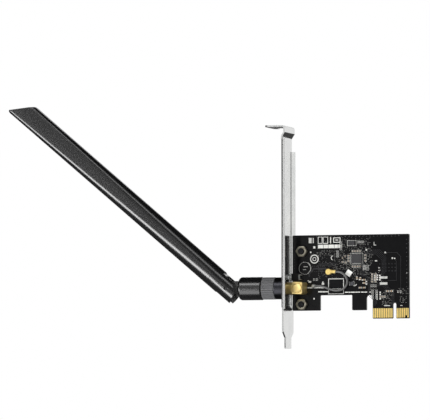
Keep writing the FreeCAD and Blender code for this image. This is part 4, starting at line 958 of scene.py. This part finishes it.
# %% [markdown]
# The print on the board is plain bars, rings and outlines, so the board keeps its busy look. Beside
# the small parts run the short lines that show where each one sits. Small dashes in a greyer ink
# fill the gaps between the parts, about as dense as part names are on such a board.

# %% Legend
PART_MARKS = (
    (33.9, 8.9, 4, 1.4, 0.0, True), (31.6, 11.2, 3, 0.0, 1.5, False), (41.0, 11.2, 3, 0.0, 1.5, False),
    (33.9, 17.2, 4, 1.4, 0.0, True), (28.3, 14.7, 2, 1.6, 0.3, False), (44.8, 21.4, 4, 0.0, 1.35, False),
    (46.7, 21.4, 4, 0.0, 1.35, False), (49.4, 33.6, 3, 1.2, 0.0, True), (27.3, 4.2, 4, 0.0, 1.2, False),
    (37.1, 4.0, 3, 1.2, 0.0, True), (25.4, 9.0, 3, 0.0, 1.3, False), (44.4, 27.6, 3, 1.15, 0.0, True),
    (45.0, 30.4, 4, 0.0, 1.3, False), (47.2, 30.4, 4, 0.0, 1.3, False), (12.2, 24.0, 2, 1.6, 0.0, True),
    (59.2, 31.0, 2, 1.5, 0.0, True),
)
PART_HALF = 0.72
PART_LINE = 0.42
MARK_WIDTH = 0.12
PRINT_STEP = 1.15
PRINT_SWING = 0.15
COLUMN_BAR = (1.15, 0.75, 0.8)
BARS = (
    (10.0, 2.9, 1.6, 2.8), (11.7, 2.9, 0.5, 2.8), (21.5, 2.8, 0.5, 3.6), (25.0, 2.8, 1.6, 0.4),
    (12.3, 6.6, 1.2, 1.2), (10.3, 9.2, 0.8, 0.8), (7.4, 17.0, 2.4, 0.3), (6.8, 18.5, 1.8, 0.25),
    (43.6, 31.0, 0.7, 0.7), (17.1, 26.4, 1.4, 0.9), (17.1, 25.6, 0.7, 0.9), (9.8, 25.2, 1.5, 0.9),
    (8.9, 24.6, 0.6, 0.6), (64.0, 21.0, 0.4, 0.4), (53.0, 38.4, 3.4, 0.35), (61.0, 38.4, 1.2, 0.3),
    (42.0, 17.8, 1.2, 1.2), (41.5, 8.3, 0.8, 0.8), (46.9, 14.3, 1.2, 0.5), (48.6, 18.1, 0.9, 0.35),
    (48.7, 19.5, 1.2, 0.3), (57.3, 13.1, 0.7, 0.7), (37.6, 24.1, 0.7, 0.8), (39.3, 24.5, 0.9, 0.5),
    (41.5, 25.3, 0.9, 0.8), (41.5, 26.7, 0.9, 0.6),
)
FRAMES = (
    (15.6, 2.8, 2.2, 3.4, 0.3), (18.6, 2.8, 2.6, 3.4, 0.3), (25.0, 2.8, 3.6, 2.4, 0.35),
    (24.5, 26.4, 8.4, 5.4, 0.34), (24.5, 30.5, 8.4, 2.6, 0.2), (36.15, 12.95, 6.9, 5.9, 0.12),
    (33.35, 4.55, 4.9, 2.9, 0.16), (41.2, 17.9, 3.2, 2.7, 0.12),
    (33.0, 9.0, 22.0, 7.0, 0.25, -1), (18.0, 24.0, 7.0, 5.0, 0.2, -1),
)
RINGS = ((12.35, 12.9, 2.15, 0.55), (12.35, 12.9, 0.9, 0.3), (7.0, 17.8, 3.3, 0.12))
LINES = (
    (arc(7.0, 17.8, 3.3, -60, 62), 0.42),
    (arc(34.9, 26.3, 1.2, 20, 250, 18), 0.4),
    (arc(22.9, 12.4, 1.1, 110, 260, 12), 0.35),
    ([(45.8, 4.1), (45.8, 5.8), (47.0, 5.8)], 0.25),
)
DASHES = (
    (14.4, 6.2, (3.0, 2.4, 3.2, 1.9, 2.1), 0.22, 1.9),
    (7.0, 28.35, (1.5, 0.9, 1.7), 0.15, 0.6),
    (12.0, 28.35, (2.4, 1.3, 2.3), 0.15, 0.6),
    (14.5, 30.6, (2.4, 1.3, 1.6), 0.12, 0.6),
    (29.5, 31.0, (1.8, 1.2, 2.2, 1.4, 1.2), 0.18, 0.5),
    (38.6, 31.0, (1.4, 1.6), 0.25, 0.5),
    (24.0, 7.6, (3.0, 2.2, 4.1, 1.6, 2.8), 0.6, 0.9, -1),
    (24.0, 10.6, (1.2, 2.0, 1.6, 2.2), 0.5, 0.4, -1),
)
COLUMNS = ((46.2, 22.2, 3), (47.6, 22.0, 3), (49.0, 22.2, 3), (47.4, 31.4, 4), (49.2, 31.2, 4))
PRINT_AREAS = (
    (13.6, 8.2, 22.6, 11.0, 0.45), (25.6, 5.0, 31.0, 10.0, 0.3), (23.6, 10.0, 33.4, 19.0, 0.5),
    (36.4, 3.4, 42.4, 5.8, 0.6), (36.0, 6.6, 44.8, 9.4, 0.35), (40.6, 9.8, 45.0, 16.6, 0.5),
    (34.0, 16.4, 40.8, 24.0, 0.55), (41.0, 19.4, 45.4, 27.0, 0.4), (43.4, 26.8, 47.6, 29.8, 0.7),
    (45.6, 20.2, 50.2, 26.0, 0.35), (50.0, 30.2, 55.4, 38.0, 0.6), (53.8, 29.6, 57.2, 33.8, 0.6),
    (59.4, 29.2, 65.0, 32.0, 0.6), (60.0, 33.4, 64.0, 37.2, 0.5), (14.0, 0.8, 44.0, 24.0, 0.16, 0.5, 0.1),
    (36.0, 17.0, 56.0, 21.0, 0.3, 0.9, 0.2, -1), (28.0, 26.0, 44.0, 29.0, 0.3, 0.9, 0.2, -1),
)


def part_marks():
    """Two short lines beside each small part, along its length."""
    marks = []
    for across, down, count, step_across, step_down, upright in PART_MARKS:
        for i in range(count):
            a, d = across + i * step_across, down + i * step_down
            for side in (-PART_LINE, PART_LINE):
                if upright:
                    path = [(a + side, d - PART_HALF), (a + side, d + PART_HALF)]
                else:
                    path = [(a - PART_HALF, d + side), (a + PART_HALF, d + side)]
                marks.append(strip(path, MARK_WIDTH, INK))
    return marks


def dashes(across, down, lengths, gap, wide, face=1):
    """A row of bars of uneven lengths, as a line of small print looks from afar."""
    marks = []
    for long in lengths:
        marks.append(bar(across + long / 2, down, long, wide, face=face))
        across += long + gap
    return marks


def fine_print(left, top, right, low, share=0.6, size=0.7, wide=0.14, face=1):
    """Small lying and standing dashes over a rectangle, as part names look between the parts."""
    marks = []
    for down in np.arange(top + size / 2, low, size * PRINT_STEP):
        for across in np.arange(left + size / 2, right, size * PRINT_STEP):
            if chance.random() > share:
                continue
            long, swing = size * chance.uniform(0.5, 1.0), chance.uniform(-PRINT_SWING, PRINT_SWING)
            if chance.random() < 0.5:
                marks.append(bar(across, down + swing, long, wide, face=face))
            else:
                marks.append(bar(across + swing, down, wide, long, face=face))
    return marks


chance = np.random.default_rng(5)
legend = part_marks() + [bar(*row) for row in BARS] + [frame_line(*row) for row in FRAMES]
legend += [strip(arc(*place), width, INK, closed=True) for *place, width in RINGS]
legend += [strip(line, width, INK) for line, width in LINES]
legend += [mark for row in DASHES for mark in dashes(*row)]
step, long, wide = COLUMN_BAR
legend += [bar(across, down + step * i, long, wide) for across, down, count in COLUMNS for i in range(count)]
print_marks = [mark for area in PRINT_AREAS for mark in fine_print(*area)]
new_piece("board_legend", joined(legend), "card", "label_white", material=finishes["legend_ink"])
new_piece("fine_legend", joined(print_marks), "card", "label_white", material=finishes["thin_ink"])

# %% [markdown]
# Copper tracks join the parts. They run straight, turn at forty-five degrees and keep an even gap.
# A wide track with a row of small plated holes on either side leads from the jack to the plug.

# %% Copper tracks and plated holes
VIA = (0.32, 0.06)


def bundle(path, count, gap, width, face=1):
    """Several tracks side by side: copies of one path, each moved by the gap along both axes."""
    path = np.asarray(path, float)
    return [strip(path + np.array((i * gap, -i * gap)), width, TRACK, face=face) for i in range(count)]


TRACKS = (
    ([(55.6, 38.6), (55.6, 33.0), (50.4, 27.8), (44.4, 27.8), (38.0, 21.4), (38.0, 15.8)], 4, 0.45, 0.2),
    ([(46.2, 38.6), (46.2, 36.2), (42.6, 32.6), (42.6, 26.0), (39.4, 22.8), (39.4, 15.8)], 3, 0.5, 0.22),
    ([(9.5, 22.4), (9.5, 20.6), (12.0, 18.1), (18.6, 18.1), (19.4, 18.9)], 1, 0, 0.9),
    ([(33.0, 12.0), (28.4, 12.0), (24.0, 16.4), (14.2, 16.4)], 3, 0.6, 0.25),
    ([(40.0, 10.6), (46.8, 10.6), (50.2, 14.0), (50.2, 22.6)], 5, 0.55, 0.22),
    ([(33.4, 5.8), (33.4, 8.0), (35.0, 9.6)], 3, 0.5, 0.2),
    ([(52.5, 9.9), (58.4, 9.9), (60.6, 12.1), (60.6, 30.0)], 1, 0, 0.3),
    ([(56.5, 13.0), (58.2, 14.7), (58.2, 24.9), (53.4, 24.9)], 1, 0, 0.3),
    ([(47.0, 38.6), (47.0, 34.0), (40.0, 27.0), (30.0, 27.0), (24.0, 21.0)], 5, 0.6, 0.25, -1),
    ([(58.0, 38.6), (58.0, 26.0), (50.0, 18.0), (36.0, 18.0)], 4, 0.7, 0.3, -1),
    ([(12.0, 10.0), (18.0, 16.0), (18.0, 20.0)], 3, 0.9, 0.35, -1),
)
tracks = [track for row in TRACKS for track in bundle(*row)]
new_piece("copper_tracks", joined(tracks), "card", "solder_mask", material=finishes["buried_copper"])


def via(across, down, face):
    """A plated hole closed with lacquer: a low ring whose middle dips."""
    size, high = VIA
    along = np.array((0, 0, high, high * 0.2, high * 0.2))
    radius = np.array((0, size, size * 0.75, size * 0.35, 0))
    lift = 0.0 if face == 1 else -BOARD_THICKNESS
    return turned(along, radius, on_board(across, down, lift), (0, -face, 0), 10)


holes = [(9.0 + 1.1 * i, 19.6) for i in range(9)] + [(10.2 + 1.1 * i, 16.9) for i in range(8)]
holes += [(1.1, 13.0 + 1.6 * i) for i in range(4)] + [(13.6 + 2.0 * i, 1.0) for i in range(24)]
holes += [(63.9, 3.0 + 2.3 * i) for i in range(13)]
holes += [(34.2 + i, 11.4 + j) for i in range(4) for j in range(3)]
holes += [(49.0 + 1.7 * (i % 6), 16.0 + 1.9 * (i // 6)) for i in range(18)]
holes += [(28.9 + 1.3 * (i % 3), 24.0 + 1.5 * (i // 3)) for i in range(6)]
vias = [via(across, down, face) for across, down in holes for face in (1, -1)]
new_piece("plated_holes", joined(vias), "card", "solder_mask", material=finishes["buried_copper"])

# %% [markdown]
# The picture is lit like a product on white: soft lamps left, above and in front, and a white
# surround that only the camera sees at full strength. Gloss and metal see it bright straight
# behind the card and dark before, above and below it, as in a room where only the backdrop is lit.
# Matt surfaces get an even, weak light from the front and a full one from the backdrop.

# %% Surround
FILL = 0.28
FRONT_GLOSS = 0.12
BACK_GLOSS = 0.9
FLOOR_GLOSS = 0.05
ABOVE_GLOSS = 0.03


def ramp(tree, value, start_end, low_high):
    """A value that goes from low to high with soft ends while another goes from start to end."""
    inputs = {"Value": value, "From Min": start_end[0], "From Max": start_end[1]}
    inputs.update({"To Min": low_high[0], "To Max": low_high[1]})
    return add(tree, "MapRange", inputs, interpolation_type="SMOOTHSTEP").outputs[0]


world = bpy.data.worlds.new("surround")
scene.world = world
world.use_nodes = True
tree = world.node_tree
tree.nodes.clear()
way = add(tree, "SeparateXYZ", {"Vector": add(tree, "TexCoord").outputs["Generated"]})
behind = ramp(tree, way.outputs["Y"], (0.5, 0.95), (FRONT_GLOSS, BACK_GLOSS))
steep = add(tree, "Math", {0: way.outputs["Z"]}, operation="ABSOLUTE")
level = ramp(tree, steep.outputs[0], (0.25, 0.5), (1.0, ABOVE_GLOSS))
gloss = add(tree, "Math", {0: behind, 1: level}, operation="MULTIPLY")
rays = add(tree, "LightPath")
glossy, seen = rays.outputs["Is Glossy Ray"], rays.outputs["Is Camera Ray"]
fill = add(tree, "MapRange", {"Value": way.outputs["Y"], "To Min": FILL, "From Max": 0.5})
lit = add(tree, "Mix", {"Factor": glossy, "A": fill.outputs[0], "B": gloss.outputs[0]}, data_type="FLOAT")
through = add(tree, "Math", {0: seen, 1: rays.outputs["Is Transmission Ray"]}, operation="MAXIMUM")
shown = add(tree, "Mix", {"Factor": through.outputs[0], "A": lit.outputs[0], "B": 1.0}, data_type="FLOAT")
add(tree, "OutputWorld", {"Surface": add(tree, "Background", {"Color": shown.outputs[0]}).outputs[0]})

# %% [markdown]
# A round black moulding shows each lamp as a band, and where the band lies depends on the way to
# the lamp alone. So each lamp is placed by the spot it serves, the way it lies from there, the way
# its long side runs, its distance, its two sides and how bright its face is. Strips beside the arm
# and the base give their bands, and small ones serve the blade and the bracket's front rims.

# %% Lamps
ALONG_ARM = (-0.766, 0, 0.643)
UPRIGHT = (0, 0, 1)
LOW_LEFT = ((-90, -6, -38), (-0.549, -0.803, -0.233), ALONG_ARM, 0.85, 0.42, 0.34)
LAMPS = {
    "low_left": (*LOW_LEFT, 9.0),
    "for_steel": (*LOW_LEFT, 0.75),
    "high_right": ((-60, -6, -60), (0.2975, -0.5586, 0.7744), ALONG_ARM, 1.2, 0.6, 0.3, 2.2),
    "high_front": ((-19, -6, -87), (-0.309, -0.70, 0.64), (1, 0, 0), 1.2, 0.5, 0.4, 3.6),
    "low_front": ((-19, -6, -87), (-0.309, -0.71, -0.61), (1, 0, 0), 0.6, 0.22, 0.38, 2.2),
    "blade_strip": ((-139, -8, 3), (-0.2024, -0.962, 0.1814), ALONG_ARM, 0.445, 0.16, 0.12, 0.35),
    "bracket_strip": ((1, -15, -45), (-0.309, -0.951, 0.05), UPRIGHT, 0.25, 0.16, 0.02, 1.15),
    "beside_camera": ((1, -6, -55), (0.309, -0.951, 0.05), UPRIGHT, 1.0, 0.45, 0.3, 1.2),
    "right": ((0, -6, -60), (0.9, -0.4, 0.25), UPRIGHT, 1.3, 0.5, 0.7, 0.35),
}

for name, (at, way, long_side, away, long, short, bright) in LAMPS.items():
    light = bpy.data.lights.new(name, "AREA")
    light.shape = "RECTANGLE"
    light.size = long
    light.size_y = short
    light.energy = bright * pi * long * short
    lamp_object = bpy.data.objects.new(name, light)
    scene.collection.objects.link(lamp_object)
    back = Vector(way).normalized()
    up = back.cross(Vector(long_side)).normalized()
    turned_lamp = Matrix((up.cross(back), up, back)).transposed()
    lamp_object.matrix_world = Matrix.Translation(Vector(at) * MM + back * away) @ turned_lamp.to_4x4()
    lamp_object.visible_camera = False
    print("lamp", name, "power", round(light.energy, 2), "W")

# %% [markdown]
# The low left lamp has to be strong, because black plastic gives back only a twentieth of it. The
# bright bracket would clip to white in it, so it is shaded from that one lamp and gets a weaker one
# at the same place, which reaches nothing else. A photographer would hold up a small grey net.

# %% A weaker lamp for the bracket
for name, state in (("low_left", "EXCLUDE"), ("for_steel", "INCLUDE")):
    reached = bpy.data.collections.new("bracket_and_" + name)
    reached.objects.link(bpy.data.objects["bracket_eased"])
    scene.objects[name].light_linking.receiver_collection = reached
    reached.collection_objects[0].light_linking.link_state = state

# %% [markdown]
# The floor is a plain pale sheet far below the card. Near the card it is partly matt, so that it
# keeps a faint shadow, and partly lit from behind like a light table. Far away it turns into the
# white of the surround, so that no line shows where it ends. From underneath it is clear, so that
# the card can be looked at from below.

# %% Floor
FLOOR_HEIGHT = -0.62
FLOOR_HALF = 15.0
SHADOW_REACH = (0.3, 1.1)
FLOOR_GLOW = 0.6

plane = bpy.data.meshes.new("floor")
corners = [(i * FLOOR_HALF, j * FLOOR_HALF, FLOOR_HEIGHT) for i, j in ((-1, -1), (1, -1), (1, 1), (-1, 1))]
plane.from_pydata(corners, [], [(0, 1, 2, 3)])
floor = bpy.data.objects.new("floor", plane)
scene.collection.objects.link(floor)
paper = bpy.data.materials.new("floor_paper")
paper.use_nodes = True
tree = paper.node_tree
tree.nodes.clear()
place = add(tree, "TexCoord").outputs["Object"]
flat = add(tree, "Mapping", {"Vector": place, "Scale": (1, 1, 0)})
away = add(tree, "VectorMath", {0: flat.outputs[0]}, operation="LENGTH")
far = ramp(tree, away.outputs["Value"], SHADOW_REACH, (FLOOR_GLOW, 1.0))
glossy = add(tree, "LightPath").outputs["Is Glossy Ray"]
glow = add(tree, "Mix", {"Factor": glossy, "A": 1.0, "B": FLOOR_GLOSS}, data_type="FLOAT")
plain = add(tree, "Math", {0: far, 1: glossy}, operation="MAXIMUM")
matt = add(tree, "BsdfDiffuse", {"Color": linear("#F6F6F4")})
white = add(tree, "Emission", {"Color": glow.outputs[0]})
above = add(tree, "MixShader", {0: plain.outputs[0], 1: matt.outputs[0], 2: white.outputs[0]})
under = add(tree, "NewGeometry").outputs["Backfacing"]
clear = add(tree, "MixShader", {0: under, 1: above.outputs[0], 2: add(tree, "BsdfTransparent").outputs[0]})
add(tree, "OutputMaterial", {"Surface": clear.outputs[0]})
plane.materials.append(paper)

# %% View transform
scene.view_settings.view_transform = "Standard"
